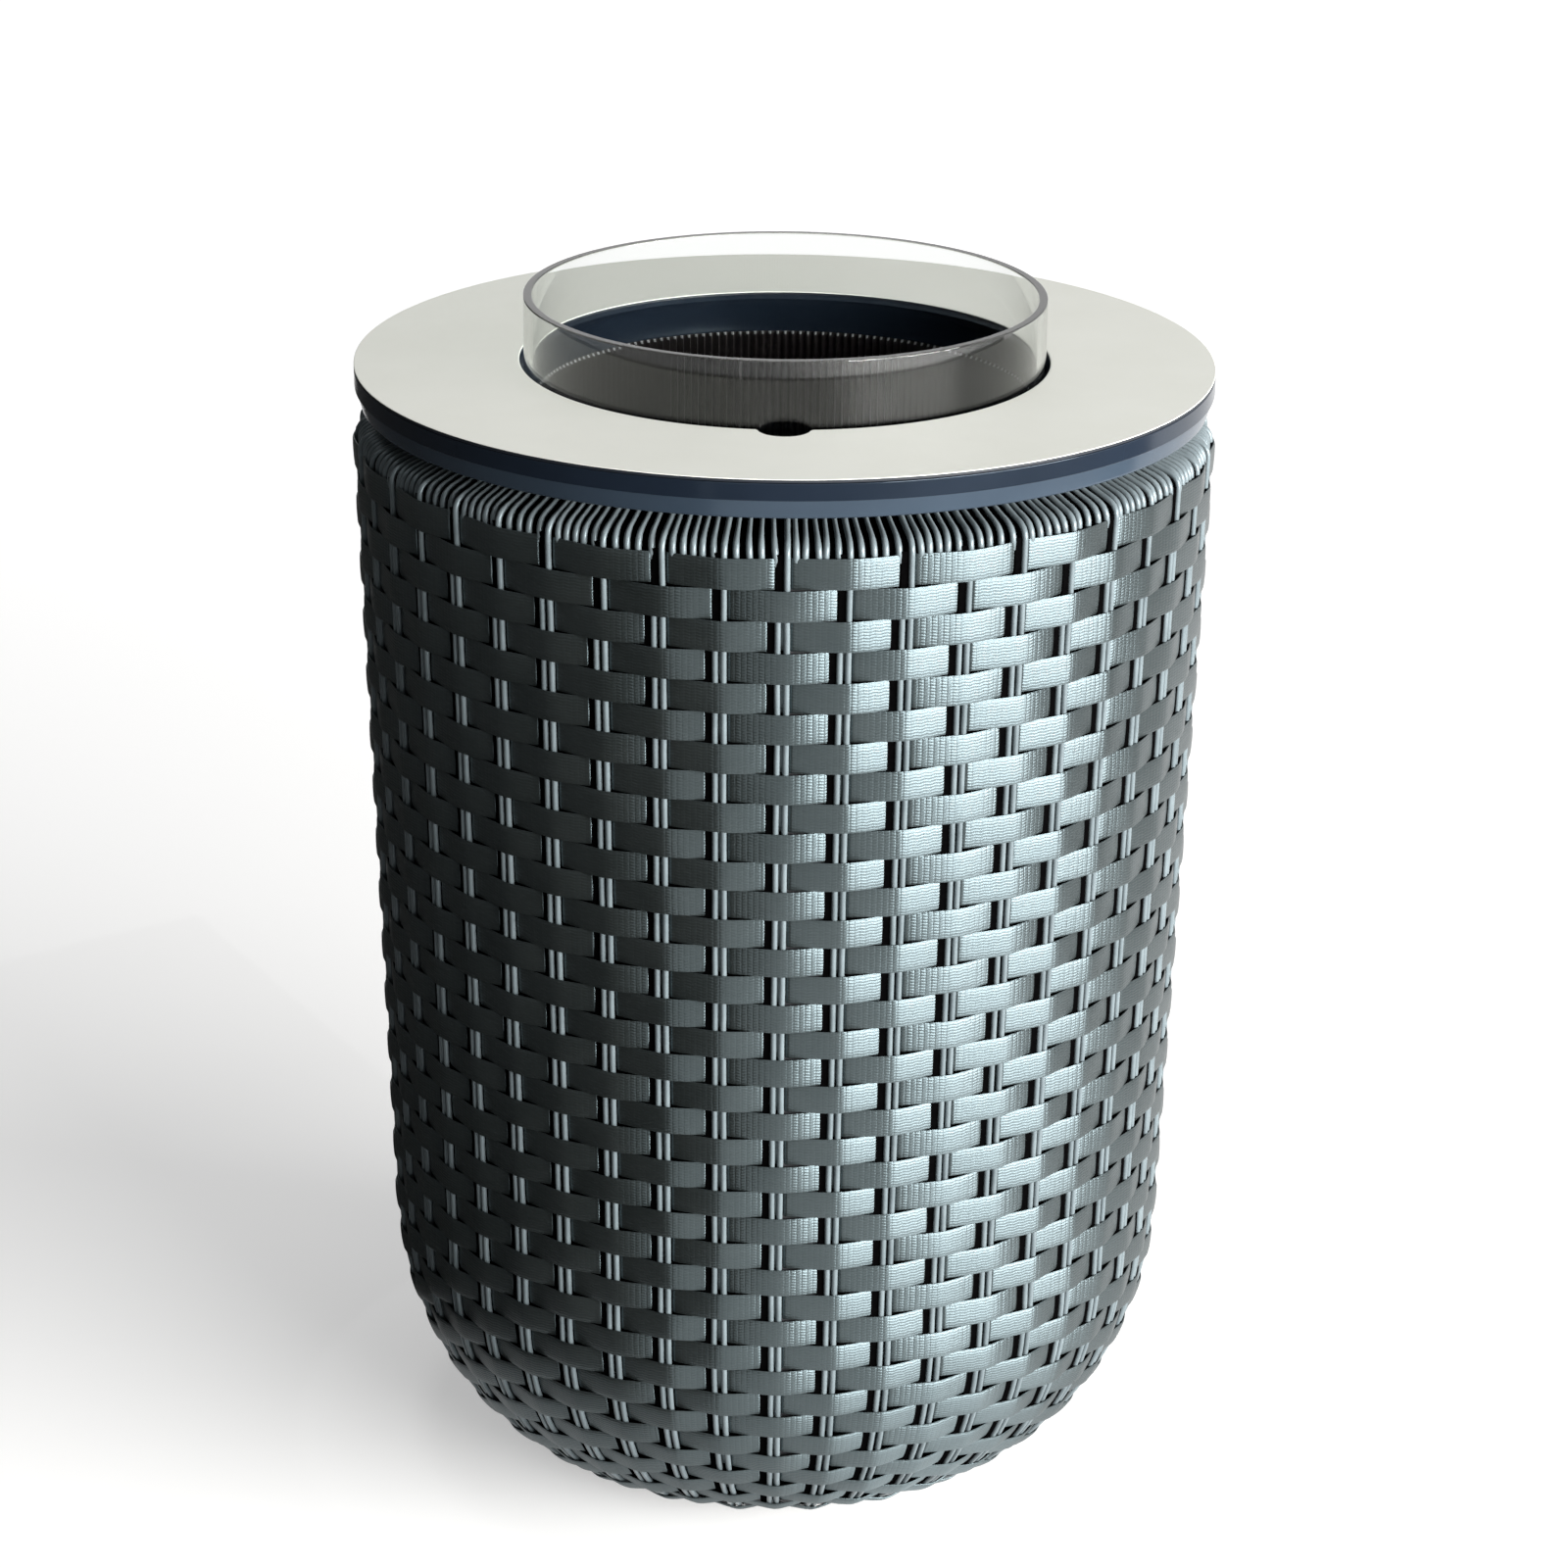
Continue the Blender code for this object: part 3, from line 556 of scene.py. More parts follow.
def build_disc(material, core):
    """Thin round top with eased edges and the finger notch."""
    bottom = DISC_LOW.z
    corners = [(OPENING_RADIUS, bottom), (TABLE_RADIUS, bottom), (TABLE_RADIUS, TOP),
               (OPENING_RADIUS, TOP)]
    profile = round_profile(corners, {2: 0.25 * MM, 3: 0.4 * MM})
    middle = (OPENING_RADIUS + TABLE_RADIUS) / 2
    inner = [p[0] < middle for p in profile]
    mesh = turned_mesh("table_disc", profile, TOP_COLUMNS, notch_shift(lambda i: inner[i]), 50)
    disc = add_object("table_disc", mesh, material, "tabletop", "cream_top", "tabletop_disc")
    finish_faces(disc.data, core, lambda r, z: z < TOP - EDGE_FACE)


def build_carrier(material, foot_painted_light_material):
    """Navy moulding: plate, stepped skirt that tapers in, collar with a lip."""
    plate_top = CARRIER_HIGH.z
    plate_bottom = plate_top - CARRIER_WALL
    lower = TABLE_RADIUS - SKIRT_STEP_WIDTH
    foot = lower - SKIRT_TAPER
    cove = OPENING_RADIUS + COLLAR_COVE_WIDTH
    outer_collar = OPENING_RADIUS + CARRIER_WALL
    step = TOP - SKIRT_STEP_DEPTH
    lip = TOP - COLLAR_LIP_DEPTH
    low = CARRIER_LOW.z
    corners = [(cove + 0.6 * MM, plate_top), (TABLE_RADIUS, plate_top), (TABLE_RADIUS, step),
               (lower, step), (foot, TOP - SKIRT_DEPTH), (foot - CARRIER_WALL, TOP - SKIRT_DEPTH),
               (lower - CARRIER_WALL, plate_bottom), (outer_collar, plate_bottom),
               (outer_collar, low), (OPENING_RADIUS + 0.4 * MM, low),
               (cove, TOP - COLLAR_COVE_DEPTH), (OPENING_RADIUS + 0.2 * MM, lip),
               (OPENING_RADIUS, lip + 0.2 * MM), (OPENING_RADIUS + 0.9 * MM, plate_top)]
    radii = {1: 0.4 * MM, 2: 0.35 * MM, 3: 0.3 * MM, 4: 0.9 * MM, 5: 0.9 * MM,
             8: 0.5 * MM, 9: 0.5 * MM}
    profile = round_profile(corners, radii)
    limit = outer_collar + 1 * MM
    inner = [p[0] < limit for p in profile[::-1]]
    mesh = turned_mesh("table_carrier", profile[::-1], TOP_COLUMNS,
                       notch_shift(lambda i: inner[i]), 45)
    carrier = add_object("table_carrier", mesh, material, "tabletop", "navy_moulding",
                         "top_carrier")
    # The lower band of the skirt, which tapers in and faces down, gets a lighter navy: painted light,
    # standing in for light thrown up from the floor onto it.
    finish_faces(carrier.data, foot_painted_light_material,
                 lambda r, z: r > foot - 0.6 * MM and z < step - 0.1 * MM)


def box_faces(offset):
    """Quads of a box whose corners are listed bottom then top, both anticlockwise."""
    quads = np.array([[3, 2, 1, 0], [4, 5, 6, 7], [0, 1, 5, 4], [1, 2, 6, 5], [2, 3, 7, 6],
                      [3, 0, 4, 7]])
    return quads + offset


def build_carrier_ribs(material):
    """Radial ribs under the plate."""
    inner = OPENING_RADIUS + CARRIER_WALL - RIB_INTO_COLLAR
    outer = TABLE_RADIUS - SKIRT_STEP_WIDTH - SKIRT_TAPER - CARRIER_WALL + RIB_INTO_SKIRT
    low = LINER_HIGH.z + SEAT_GAP
    high = CARRIER_HIGH.z - CARRIER_WALL + RIB_INTO_PLATE
    half = RIB_HALF_WIDTH
    points = []
    faces = []
    for i in range(RIB_COUNT):
        angle = FRONT + 2 * math.pi * (i + 0.5) / RIB_COUNT
        turn = Matrix.Rotation(angle, 3, "Z")
        for z in (low, high):
            for x, y in ((inner, -half), (outer, -half), (outer, half), (inner, half)):
                points.append(tuple(turn @ Vector((x, y, z))))
        faces.append(box_faces(8 * i))
    mesh = mesh_from("carrier_ribs", points, np.vstack(faces))
    add_object("carrier_ribs", mesh, material, "tabletop", "navy_moulding")


# Bucket and liner


def build_bucket(material):
    """Clear bucket with a flat polished rim and a rounded foot."""
    bottom, rim = BUCKET_LOW.z, BUCKET_HIGH.z
    floor = bottom + BUCKET_FLOOR
    inner = BUCKET_RADIUS - BUCKET_WALL
    corners = [(0, bottom), (BUCKET_RADIUS, bottom), (BUCKET_RADIUS, rim), (inner, rim),
               (inner, floor), (0, floor)]
    profile = [corners[0]]
    profile += rounded_corner(corners[1], corners[0], corners[2], 9 * MM, 8)
    profile += rounded_corner(corners[2], corners[1], corners[3], 0.5 * MM, 3)
    profile += rounded_corner(corners[3], corners[2], corners[4], 0.5 * MM, 3)
    profile += rounded_corner(corners[4], corners[3], corners[5], 5 * MM, 6)
    profile.append(corners[5])
    mesh = turned_vessel("bucket_clear", profile, BUCKET_COLUMNS, smooth_angle=50)
    add_object("bucket_clear", mesh, material, "bucket", "clear_acrylic", "clear_bucket")


def build_liner(material, tip_highlight_material):
    """Liner with a flange on the rim, a centring ring and a fluted inner wall."""
    mouth = OPENING_RADIUS + CARRIER_WALL + LINER_MOUTH_GAP
    valley = mouth - FLUTE_SETBACK
    wall_out = mouth + LINER_WALL
    ledge = CARRIER_LOW.z - SEAT_GAP
    bottom = LINER_LOW.z
    floor = bottom + LINER_WALL
    flange_top = LINER_HIGH.z
    flange_low = flange_top - LINER_WALL
    flange_out = LINER_HIGH.y
    ring_out = RIM_RADIUS - RIM_TUBE_RADIUS - LINER_RING_GAP
    ring_in = ring_out - LINER_WALL
    ring_low = flange_low - LINER_RING_DEPTH
    profile = [(0, bottom)]
    profile += rounded_corner((wall_out, bottom), (0, bottom), (wall_out, flange_low), 3 * MM, 4)
    profile += [(wall_out, flange_low), (ring_in, flange_low), (ring_in, ring_low),
                (ring_out, ring_low), (ring_out, flange_low), (flange_out, flange_low)]
    profile += rounded_corner((flange_out, flange_top), (flange_out, flange_low),
                              (mouth, flange_top), 0.8 * MM, 2)
    profile += rounded_corner((mouth, flange_top), (flange_out, flange_top), (mouth, ledge),
                              0.8 * MM, 2)
    first_flute = len(profile) - 1
    profile += [(valley, ledge), (valley, ledge - TIP_HEIGHT / 2), (valley, ledge - TIP_HEIGHT),
                (valley, ledge - 2 * TIP_HEIGHT), (valley, floor + 1 * MM), (valley, floor)]
    profile += [(valley - FLUTE_HEIGHT - 1 * MM, floor), (0, floor)]
    columns = FLUTE_COUNT * FLUTE_SAMPLES

    def flute_shift(indices, angles):
        wave = (0.5 + 0.5 * np.cos(FLUTE_COUNT * (angles - FRONT))) ** FLUTE_SHARPNESS
        amount = np.zeros(len(indices))
        for k, share in enumerate(FLUTE_GROWTH):
            amount[first_flute + k] = -FLUTE_HEIGHT * share
        return amount[:, None] * wave[None, :]

    mesh = turned_vessel("liner_fluted", profile, columns, flute_shift, 60)
    liner = add_object("liner_fluted", mesh, material, "liner", "liner_plastic", "cooler_liner")
    # The flute ends get the pale finish: a painted highlight of the light from above.
    finish_faces(liner.data, tip_highlight_material,
                 lambda r, z: r < valley - FLUTE_HEIGHT / 2 and ledge - TIP_HEIGHT < z < ledge)


# Basket


class BodyLine:
    """Outer line of the woven wall, from its top edge down to the base plane."""

    def __init__(self):
        base = TOP - PLATE_LOW.z
        start_depth = base + ROUNDING_OVERRUN - ROUNDING_HEIGHT
        start_radius = WALL_TOP_RADIUS - WALL_DRAFT * (start_depth - WALL_TOP_DEPTH)
        power = 2 / ROUNDING_EXPONENT
        reach = (ROUNDING_HEIGHT - ROUNDING_OVERRUN) / ROUNDING_HEIGHT
        t = np.linspace(0, math.asin(reach ** (1 / power)), 90)
        radii = ROUNDING_FLAT_RADIUS + (start_radius - ROUNDING_FLAT_RADIUS) * np.cos(t) ** power
        heights = TOP - start_depth - ROUNDING_HEIGHT * np.sin(t) ** power
        self.r = np.concatenate([[WALL_TOP_RADIUS], radii])
        self.z = np.concatenate([[TOP - WALL_TOP_DEPTH], heights])
        steps = np.hypot(np.diff(self.r), np.diff(self.z))
        self.s = np.concatenate([[0], np.cumsum(steps)])
        self.length = self.s[-1]
        slope_r = np.gradient(self.r, self.s)
        slope_z = np.gradient(self.z, self.s)
        size = np.hypot(slope_r, slope_z)
        self.normal_r = -slope_z / size
        self.normal_z = slope_r / size

    def at(self, distance, depth):
        """Radius and height at a distance along the line, a depth inside it."""
        r = np.interp(distance, self.s, self.r)
        z = np.interp(distance, self.s, self.z)
        below = distance < 0
        z = np.where(below, self.z[0] - distance, z)
        r = np.where(below, self.r[0] + WALL_DRAFT * -distance, r)
        return (r - np.interp(distance, self.s, self.normal_r) * depth,
                z - np.interp(distance, self.s, self.normal_z) * depth)


def strap_rows(line):
    """Upper and lower edge of each strap as distances along the body line."""
    rows = []
    top = 0.0
    pitch = STRAP_PITCH_TOP
    while top + pitch <= line.length:
        rows.append((top + STRAP_GAP / 2, top + pitch - STRAP_GAP / 2))
        top += pitch
        pitch = max(pitch - STRAP_PITCH_LOSS, STRAP_PITCH_LEAST)
    return rows


def smooth_through(x, xs, ys, period):
    """Periodic curve through a few points that doesn't overshoot them."""
    xs = np.array(xs, float)
    ys = np.array(ys, float)
    ends = np.concatenate([xs[-2:] - period, xs, xs[:2] + period])
    vals = np.concatenate([ys[-2:], ys, ys[:2]])
    rise = np.diff(vals) / np.diff(ends)
    slope = np.zeros(len(ends))
    same = rise[1:] * rise[:-1] > 0
    slope[1:-1] = np.where(same, 2 * rise[1:] * rise[:-1] / (rise[1:] + rise[:-1] + 1e-12), 0)
    i = np.clip(np.searchsorted(ends, x % period, side="right") - 1, 1, len(ends) - 3)
    h = ends[i + 1] - ends[i]
    t = ((x % period) - ends[i]) / h
    return ((2 * t ** 3 - 3 * t ** 2 + 1) * vals[i] + (t ** 3 - 2 * t ** 2 + t) * h * slope[i]
            + (3 * t ** 2 - 2 * t ** 3) * vals[i + 1] + (t ** 3 - t ** 2) * h * slope[i + 1])


# Depth of a strap's face behind its crest, by the number of pitches past the stake it goes behind
PATH_STATIONS = (0.0, 0.10, 0.128, 0.150, 0.20, 0.32, 0.62, 0.90, 1.05, 1.19, 1.34, 1.50,
                 1.64, 1.745, 1.762, 1.780, 1.806, 1.90)
PATH_DEPTHS = (4.12, 4.10, 3.75, 3.05, 2.65, 2.28, 1.28, 0.32, 0.0, 0.22, 0.75, 1.38, 2.05, 2.55,
               2.72, 3.75, 4.08, 4.12)
STAKE_ZONE = 0.2
DIVE_ZONE = 0.3
SINGLE_SHIFT = 0.139


def strap_depth(stations):
    """Depth along a strap, at stations counted in pitches."""
    return smooth_through(stations, PATH_STATIONS, np.array(PATH_DEPTHS) * MM, 2.0)


def strap_stations():
    """Stations along one over-and-under period, closer where the strap bends and dives."""
    runs = ((0.0, 0.20, 8), (0.20, 0.84, 5), (0.84, 1.20, 6), (1.20, 1.72, 5), (1.72, 1.82, 7),
            (1.82, 2.0, 3))
    return np.concatenate([np.linspace(a, b, n, endpoint=False) for a, b, n in runs])


def stake_scale(radius):
    """How much closer the strands of a stake run where the wall draws in."""
    return np.clip(radius / (0.8 * TABLE_RADIUS), 0.55, 1.0)


def placed_stations(period, radius, single):
    """Stations at a radius, where a stake takes a larger or smaller share of the pitch."""
    share = float(stake_scale(radius)) * TABLE_RADIUS / radius
    dive = 2 - DIVE_ZONE * share + (SINGLE_SHIFT if single else 0)
    return np.interp(period, [0, STAKE_ZONE, 1, 2 - DIVE_ZONE, 2],
                     [0, STAKE_ZONE * share, 1, dive, 2])


def strap_wander(stations, laps, size, rng):
    """Random shift along a strap, with one draw for each stake."""
    draws = rng.normal(0, size, 2 * laps)
    return np.interp(stations, np.arange(0, 2 * laps + 1), np.append(draws, 0))


def strap_section():
    """Points round a strap's section: share of its half width, and depth below its crest."""
    section = []
    for shares, edge, face in ((STRAP_SHARES, 0.3, 0), (STRAP_SHARES[::-1], 0.7, 1)):
        for share in shares:
            depth = edge if abs(share) == 1 else face
            section.append((share, STRAP_CROWN * share ** 2 + STRAP_THICKNESS * depth))
    return section


def build_strap(number, row, line, material, rng, *nodes):
    """One flat strap right round the basket, over every other stake."""
    top, bottom = row
    middle = (top + bottom) / 2
    period = strap_stations()
    laps = STAKE_COUNT // 2
    middle_radius = float(line.at(middle, 0)[0])
    placed = placed_stations(period, middle_radius, number <= PAIR_STARTS_BELOW_ROW)
    stations = (placed[None, :] + 2 * np.arange(laps)[:, None]).ravel()
    columns = len(stations)
    # The first stake that the strap goes behind, counted from the front
    behind = 1 if number % 2 == 0 else 2
    angles = FRONT + (stations + behind) * STAKE_ANGLE
    depths = np.tile(strap_depth(period), laps)
    half = (bottom - top) / 2
    sway = strap_wander(stations, laps, STRAP_SWAY, rng)
    lean = strap_wander(stations, laps, STRAP_LEAN, rng)
    rows = strap_section()
    points = []
    for share, inset in rows:
        distance = middle + share * half + sway
        r, z = line.at(distance, depths + inset + lean * share)
        points.append(np.stack([r * np.cos(angles), r * np.sin(angles), z], axis=-1))
    points = np.array(points)
    quads = grid_faces(len(rows), columns, True)[:, ::-1]
    along = np.append(stations, 2 * laps) * (STAKE_ANGLE * middle_radius)
    uv = strap_uvs(rows, columns, along, half)
    name = f"strap_{number:02d}"
    mesh = mesh_from(name, points.reshape(-1, 3), quads, 60, uv)
    add_object(name, mesh, material, "basket", "flat_strap", *nodes)


def strap_uvs(rows, columns, along, half):
    """Distance along and across the strap, in metres, for each corner of its faces."""
    across = np.array([share * half for share, _ in rows] + [rows[0][0] * half])
    count = len(rows)
    uv = np.zeros((count, columns, 4, 2))
    u0, u1 = along[:-1], along[1:]
    for i in range(count):
        v0, v1 = across[i], across[i + 1]
        uv[i, :, 0] = np.stack([u0, np.full(columns, v0)], axis=-1)
        uv[i, :, 1] = np.stack([u1, np.full(columns, v0)], axis=-1)
        uv[i, :, 2] = np.stack([u1, np.full(columns, v1)], axis=-1)
        uv[i, :, 3] = np.stack([u0, np.full(columns, v1)], axis=-1)
    return uv[:, :, ::-1].reshape(-1, 2)


def tube_parts(centres, radius, sides, offset):
    """Points and faces of a tube with closed ends, with one radius or one for each point."""
    centres = np.array(centres, float)
    ahead = np.gradient(centres, axis=0)
    ahead /= np.linalg.norm(ahead, axis=1)[:, None]
    guide = np.cross(ahead[0], [0.0, 0.0, 1.0])
    if np.linalg.norm(guide) < 1e-3:
        guide = np.array([1.0, 0.0, 0.0])
    across = np.zeros_like(centres)
    for i, direction in enumerate(ahead):
        guide = guide - direction * np.dot(guide, direction)
        guide = guide / np.linalg.norm(guide)
        across[i] = guide
    other = np.cross(ahead, across)
    turn = 2 * np.pi * np.arange(sides) / sides
    round_it = (np.cos(turn)[None, :, None] * across[:, None, :]
                + np.sin(turn)[None, :, None] * other[:, None, :])
    points = centres[:, None, :] + np.broadcast_to(radius, len(centres))[:, None, None] * round_it
    faces = grid_faces(len(centres), sides, False, offset).tolist()
    first = [offset + i for i in range(sides)]
    last = [offset + (len(centres) - 1) * sides + i for i in range(sides)]
    faces.append(first[::-1])
    faces.append(last)
    return points.reshape(-1, 3), faces


def tubes_mesh(name, lines, radius, sides):
    """One mesh of several tubes."""
    points = []
    faces = []
    offset = 0
    for centres in lines:
        tube_points, tube_faces = tube_parts(centres, radius, sides, offset)
        points.append(tube_points)
        faces += tube_faces
        offset += len(tube_points)
    return smooth_mesh(name, np.vstack(points).tolist(), faces, 50)


def stake_line(line, angle, shift, start, rng):
    """Centres of one strand of a stake, from a distance along the wall down to the base."""
    distances = np.arange(start, line.length - BASE_CLEARANCE, STRAND_STEP)
    r, z = line.at(distances, STAKE_DEPTH)
    wander = np.cumsum(rng.normal(0, STRAND_WANDER, len(distances)))
    wander -= np.linspace(0, wander[-1], len(distances))
    sideways = shift * stake_scale(r) + wander
    turn = angle + sideways / r
    return np.stack([r * np.cos(turn), r * np.sin(turn), z], axis=-1)


# How far a stake's strand runs up and in over the hoop, from its inner end, in millimetres
STAKE_TOP_PATH = ((14.3, 21.2), (13.0, 18.0), (11.2, 14.0), (9.3, 9.4), (8.0, 5.8), (7.0, 3.6),
                  (5.6, 1.7), (3.6, 0.5), (1.6, 0.1))


def stake_top(first, second):
    """Points that turn the strand in over the hoop above its first point."""
    first, second = Vector(first), Vector(second)
    up = (first - second).normalized()
    inward = Vector((-first.x, -first.y, 0)).normalized()
    return [tuple(first + up * rise * MM + inward * reach * MM) for rise, reach in STAKE_TOP_PATH]


def pair_start(rows, stake):
    """Where a stake's second strand starts, under the strap that passes over it there."""
    edge = rows[PAIR_STARTS_BELOW_ROW - 1][1]
    return edge + (PAIR_START_OFFSET if stake % 2 else -PAIR_START_OFFSET)


def build_shade_bars(line, rows, material):
    """Dark flat bar on the left of each stake, which the straps go over and behind as well: painted
    shade, a near-black stand-in for the shadowed slit there.
    """
    for k in range(STAKE_COUNT):
        distances = np.arange(BAR_START, line.length - BASE_CLEARANCE, BAR_STEP)
        below = np.clip((distances - pair_start(rows, k)) / BAR_STEP + 0.5, 0, 1)
        centre = BAR_CENTRE + (1 - below) * STRAND_SPACING
        corners = []
        for depth, side in ((0, -1), (0, 1), (BAR_THICKNESS, 1), (BAR_THICKNESS, -1)):
            r, z = line.at(distances, BAR_DEPTH + depth)
            sideways = (centre + side * BAR_WIDTH / 2) * stake_scale(r)
            turn = FRONT + k * STAKE_ANGLE + sideways / r
            corners.append(np.stack([r * np.cos(turn), r * np.sin(turn), z], axis=-1))
        points = np.stack(corners, axis=1).reshape(-1, 3)
        faces = grid_faces(len(distances), 4, False)[:, ::-1].tolist()
        last = len(points)
        faces += [[0, 1, 2, 3], [last - 1, last - 2, last - 3, last - 4]]
        name = f"stake_shade_bar_{k + 1:02d}"
        mesh = bpy.data.meshes.new(name)
        mesh.from_pydata(points.tolist(), [], faces)
        add_object(name, mesh, material, "basket", "frame_metal")


def build_stakes(line, rows, material, rng):
    """Stakes: a long strand that turns in over the hoop, and a second one from the third row."""
    for k in range(STAKE_COUNT):
        angle = FRONT + k * STAKE_ANGLE
        right = stake_line(line, angle, STRAND_SPACING / 2, 0.5 * MM, rng)
        right = np.vstack([stake_top(right[0], right[1]), right])
        left = stake_line(line, angle, -STRAND_SPACING / 2, pair_start(rows, k), rng)
        name = f"stake_{k + 1:02d}"
        mesh = tubes_mesh(name, [left, right], STRAND_RADIUS, STRAND_SIDES)
        add_object(name, mesh, material, "basket", "round_strand")


# Strand over the hoop and section of the hoop, in millimetres from the hoop's middle
WRAP_PATH = ((10.0, -5.6), (10.4, -3.0), (10.3, -0.5), (9.8, 1.2), (8.8, 3.0), (7.2, 4.5),
             (4.9, 5.8), (0.5, 7.5), (-4.0, 9.4), (-7.0, 10.8), (-8.8, 11.4), (-10.6, 10.9),
             (-11.6, 9.0), (-11.8, 5.0), (-11.8, -1.0))
WRAP_THINNING = (1.0, 1.0, 1.0, 1.0, 0.96, 0.88, 0.80, 0.73, 0.70, 0.75, 0.85, 0.85, 0.85,
                 0.85, 0.85)
HOOP_PATH = ((8.3, -3.5), (8.2, 0.0), (7.6, 1.6), (6.4, 2.9), (4.4, 3.9), (-6.2, 8.4),
             (-8.2, 9.2), (-9.5, 8.8), (-10.0, 7.4), (-10.0, -4.0), (-8.6, -7.6), (-5.0, -9.6),
             (0.0, -10.2), (5.0, -9.2), (7.6, -6.8))


def wrap_line(angle, lean, drop):
    """Centres of one turn of strand over the hoop, from behind the top strap to the inside."""
    path = np.array(WRAP_PATH) * MM
    path[0, 1] -= drop
    r = RIM_RADIUS + path[:, 0]
    z = RIM_HEIGHT + path[:, 1]
    sideways = lean * np.linspace(-1, 1, len(path))
    turn = angle + sideways / r
    return np.stack([r * np.cos(turn), r * np.sin(turn), z], axis=-1)


def build_rim_strands(material, rng):
    """Strands wound over the hoop between the stakes."""
    lines = []
    for k in range(STAKE_COUNT):
        count = WRAPS_BETWEEN_STAKES[k % 2]
        for i in range(count):
            share = (i + WRAP_FIRST) / (count + WRAP_SPREAD)
            turn = (k + WRAP_START + share * WRAP_SPAN) * STAKE_ANGLE
            angle = FRONT + turn + rng.normal(0, 0.0006)
            lines.append(wrap_line(angle, rng.normal(-0.5, 0.5) * MM, rng.uniform(0, 0.6) * MM))
    radii = np.array(WRAP_THINNING) * WRAP_STRAND_RADIUS
    mesh = tubes_mesh("rim_strands", lines, radii, STRAND_SIDES)
    add_object("rim_strands", mesh, material, "basket", "round_strand", "rim_wrap")


def build_lining(line, material):
    """Thin dark lining behind the stakes, from under the hoop to the base."""
    distances = np.linspace(1 * MM, line.length - 2 * MM, 60)
    profile = []
    for depth in (LINING_DEPTH, LINING_DEPTH + LINING_THICKNESS):
        r, z = line.at(distances, depth)
        ring = list(zip(r.tolist(), z.tolist()))
        profile += ring if depth == LINING_DEPTH else ring[::-1]
    mesh = turned_mesh("basket_lining", profile[::-1], LINING_COLUMNS)
    add_object("basket_lining", mesh, material, "basket", "frame_metal")


def build_rim_hoop(material):
    """Dark tube under the wound strands."""
    profile = [(RIM_RADIUS + r * MM, RIM_HEIGHT + z * MM) for r, z in HOOP_PATH]
    mesh = turned_mesh("rim_hoop", profile, LINING_COLUMNS)
    add_object("rim_hoop", mesh, material, "basket", "frame_metal", "rim_tube")


def finish_cad_nodes(coat, glide):
    """Give the hidden frame and the glides their finish."""
    for name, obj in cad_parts.items():
        if name.startswith("glide"):
            obj.data.materials.clear()
            obj.data.materials.append(glide)
        elif name.startswith(("upright", "frame_band", "base_plate")):
            obj.data.materials.clear()
            obj.data.materials.append(coat)


# Stage


def build_floor(material):
    """Pale floor under the table."""
    data = bmesh.new()
    bmesh.ops.create_circle(data, cap_ends=True, segments=96, radius=FLOOR_RADIUS)
    mesh = bpy.data.meshes.new("floor")
    data.to_mesh(mesh)
    data.free()
    mesh.materials.append(material)
    floor = bpy.data.objects.new("floor", mesh)
    bpy.context.scene.collection.objects.link(floor)
    floor.location.z = -FLOOR_DROP


def build_card(name, start, end, rings, material):
    """Dark studio card in an arc round the table, that only the shiny faces mirror."""
    points = []
    for azimuth in np.radians(np.linspace(start, end, FLAG_STEPS)):
        for reach, height in rings:
            points.append((reach * math.sin(azimuth), -reach * math.cos(azimuth), height))
    faces = []
    count = len(rings)
    for i in range(FLAG_STEPS - 1):
        for j in range(count * i, count * i + count - 1):
            faces.append((j, j + count, j + count + 1, j + 1))
    mesh = mesh_from(name, points, faces)
    mesh.materials.append(material)
    card = bpy.data.objects.new(name, mesh)
    bpy.context.scene.collection.objects.link(card)
    for rays in ("camera", "diffuse", "transmission", "volume_scatter", "shadow"):
        setattr(card, f"visible_{rays}", False)


def build_cards():
    """Card on the floor and upright on the left, and one on the far floor on the right."""
    n = Nodes("dark_card", (0.015, 0.015, 0.015), 0.9)
    n.colour(n.mix(n.noise(30, 3), (0.012, 0.012, 0.012), (0.02, 0.02, 0.02)))
    left = ((FLAG_NEAR, 1 * MM), (FLAG_FAR, 1 * MM), (FLAG_FAR, FLAG_HEIGHT))
    right = ((SIDE_CARD_NEAR, 1 * MM), (SIDE_CARD_FAR, 1 * MM))
    build_card("dark_card_left", FLAG_START, FLAG_END, left, n.material)
    build_card("dark_card_right", SIDE_CARD_START, SIDE_CARD_END, right, n.material)


def add_area(name, place, target, width, height, power, colour):
    """Rectangular soft light that faces a point."""
    light = bpy.data.lights.new(name, "AREA")
    light.shape = "RECTANGLE"
    light.size = width
    light.size_y = height
    light.energy = power
    light.color = colour
    obj = bpy.data.objects.new(name, light)
    bpy.context.scene.collection.objects.link(obj)
    obj.location = place
    obj.rotation_euler = (Vector(target) - Vector(place)).to_track_quat("-Z", "Y").to_euler()
    obj.visible_camera = False


def add_window(name, azimuth, elevation, distance, width, height, radiance, colour):
    """Soft light seen from the table in a direction: azimuth from the front to the right."""
    side, rise = math.radians(azimuth), math.radians(elevation)
    target = Vector((0, 0, TOP / 2))
    place = target + distance * Vector((math.sin(side) * math.cos(rise),
                                        -math.cos(side) * math.cos(rise), math.sin(rise)))
    add_area(name, place, target, width, height, radiance * math.pi * width * height, colour)


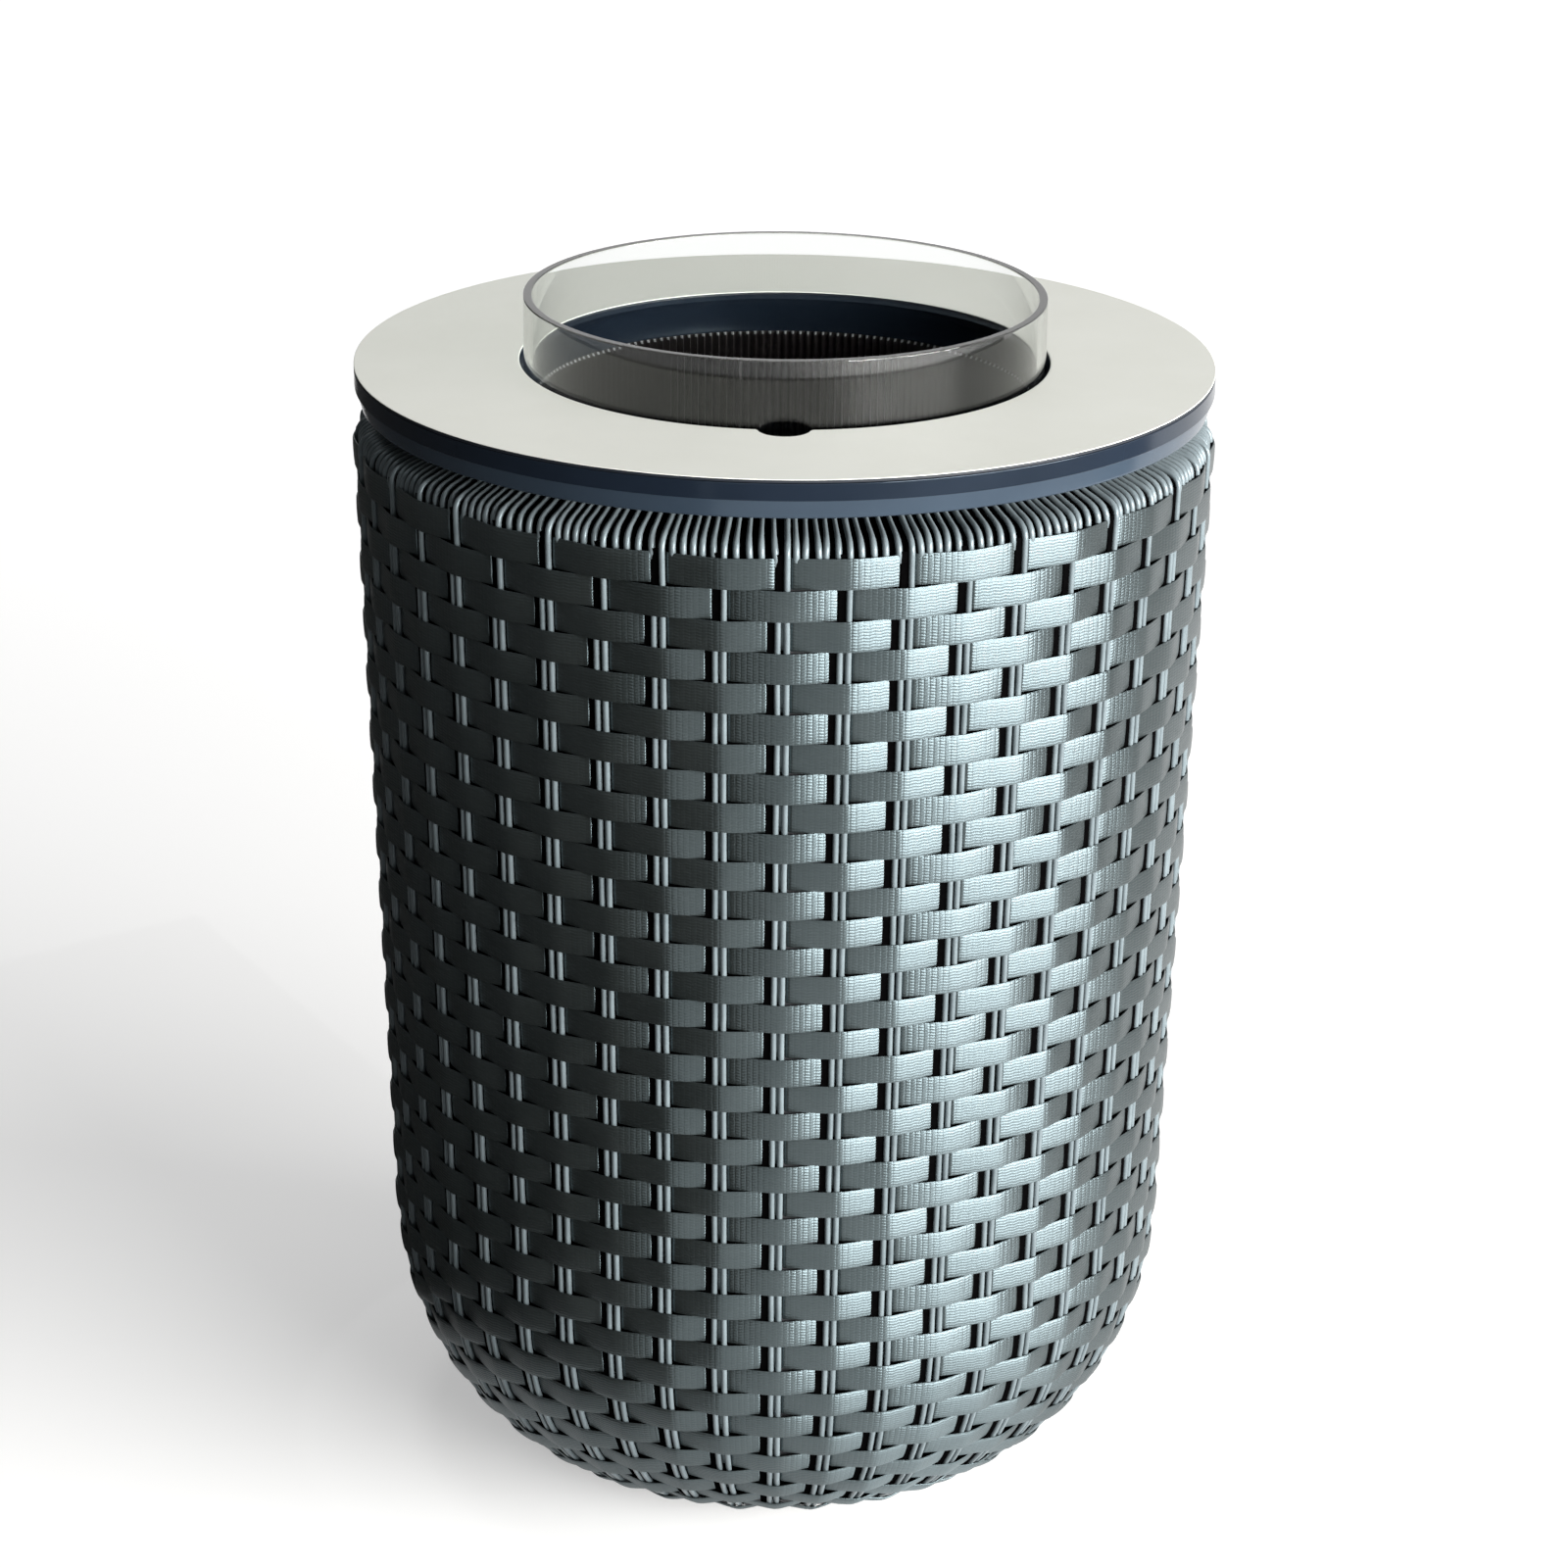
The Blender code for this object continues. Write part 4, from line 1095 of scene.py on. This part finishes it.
def build_lights():
    """Low window on the right, a soft light above and a pale room."""
    add_window("key_window", KEY_AZIMUTH, KEY_ELEVATION, KEY_DISTANCE, KEY_WIDTH, KEY_HEIGHT,
               KEY_RADIANCE, (1.0, 0.99, 0.97))
    add_area("top_soft", (0, 0, TOP_LIGHT_HEIGHT), (0, 0, 0.55), TOP_LIGHT_SIZE, TOP_LIGHT_SIZE,
             TOP_LIGHT_POWER, (1.0, 1.0, 1.0))
    world = bpy.data.worlds.new("pale_room")
    bpy.context.scene.world = world
    world.use_nodes = True
    background = world.node_tree.nodes["Background"]
    background.inputs["Color"].default_value = (1.0, 1.0, 1.0, 1.0)
    seen = seen_rays(world.node_tree)
    strength = world.node_tree.nodes.new("ShaderNodeMapRange")
    strength.inputs[3].default_value = ROOM_LEVEL
    strength.inputs[4].default_value = 1.0
    world.node_tree.links.new(seen, strength.inputs[0])
    world.node_tree.links.new(strength.outputs[0], background.inputs["Strength"])


def build_camera():
    """Camera at the photograph's place and angle."""
    aim = CAMERA_ELEVATION + CAMERA_PITCH
    ahead = Vector((math.sin(CAMERA_YAW) * math.cos(aim), math.cos(CAMERA_YAW) * math.cos(aim),
                    -math.sin(aim)))
    right = Vector((math.cos(CAMERA_YAW), -math.sin(CAMERA_YAW), 0))
    up = right.cross(ahead)
    tilted_right = right * math.cos(CAMERA_ROLL) + up * math.sin(CAMERA_ROLL)
    tilted_up = up * math.cos(CAMERA_ROLL) - right * math.sin(CAMERA_ROLL)
    data = bpy.data.cameras.new("camera")
    data.lens = CAMERA_LENS
    data.sensor_width = SENSOR_WIDTH
    camera = bpy.data.objects.new("camera", data)
    bpy.context.scene.collection.objects.link(camera)
    place = Vector((0, -CAMERA_DISTANCE * math.cos(CAMERA_ELEVATION),
                    TOP + CAMERA_DISTANCE * math.sin(CAMERA_ELEVATION)))
    turn = Matrix((tilted_right, tilted_up, -ahead)).transposed().to_4x4()
    camera.matrix_world = Matrix.Translation(place) @ turn
    bpy.context.scene.camera = camera


def build_table():
    """All the pieces of the table."""
    rng = np.random.default_rng(7)
    navy = navy_material("navy_moulded", (0.006, 0.0095, 0.016), (0.0085, 0.013, 0.0215))
    # Lighter navy for the skirt's lower band: painted light, standing in for light from the floor
    # below.
    navy_foot_painted_light = navy_material("navy_foot_painted_light", (0.020, 0.030, 0.044), (0.026, 0.038, 0.054))
    strand = strand_material()
    strap = strap_material()
    coat = coat_material()
    build_disc(cream_material(), core_material())
    build_carrier(navy, navy_foot_painted_light)
    build_carrier_ribs(navy)
    build_bucket(acrylic_material())
    build_liner(liner_material(), tip_highlight_material())
    line = BodyLine()
    rows = strap_rows(line)
    for number, row in enumerate(rows, start=1):
        node = "woven_wall" if row[1] <= line.s[1] else "woven_base"
        build_strap(number, row, line, strap, rng, node)
    # This finish also colours the bars, where it is painted shade.
    lining = lining_and_shade_material()
    build_stakes(line, rows, strand, rng)
    build_shade_bars(line, rows, lining)
    build_rim_strands(strand, rng)
    build_rim_hoop(lining)
    build_lining(line, lining)
    finish_cad_nodes(coat, glide_material())


bpy.context.scene.view_settings.view_transform = "Standard"
build_camera()
build_table()
build_floor(floor_material())
build_cards()
build_lights()
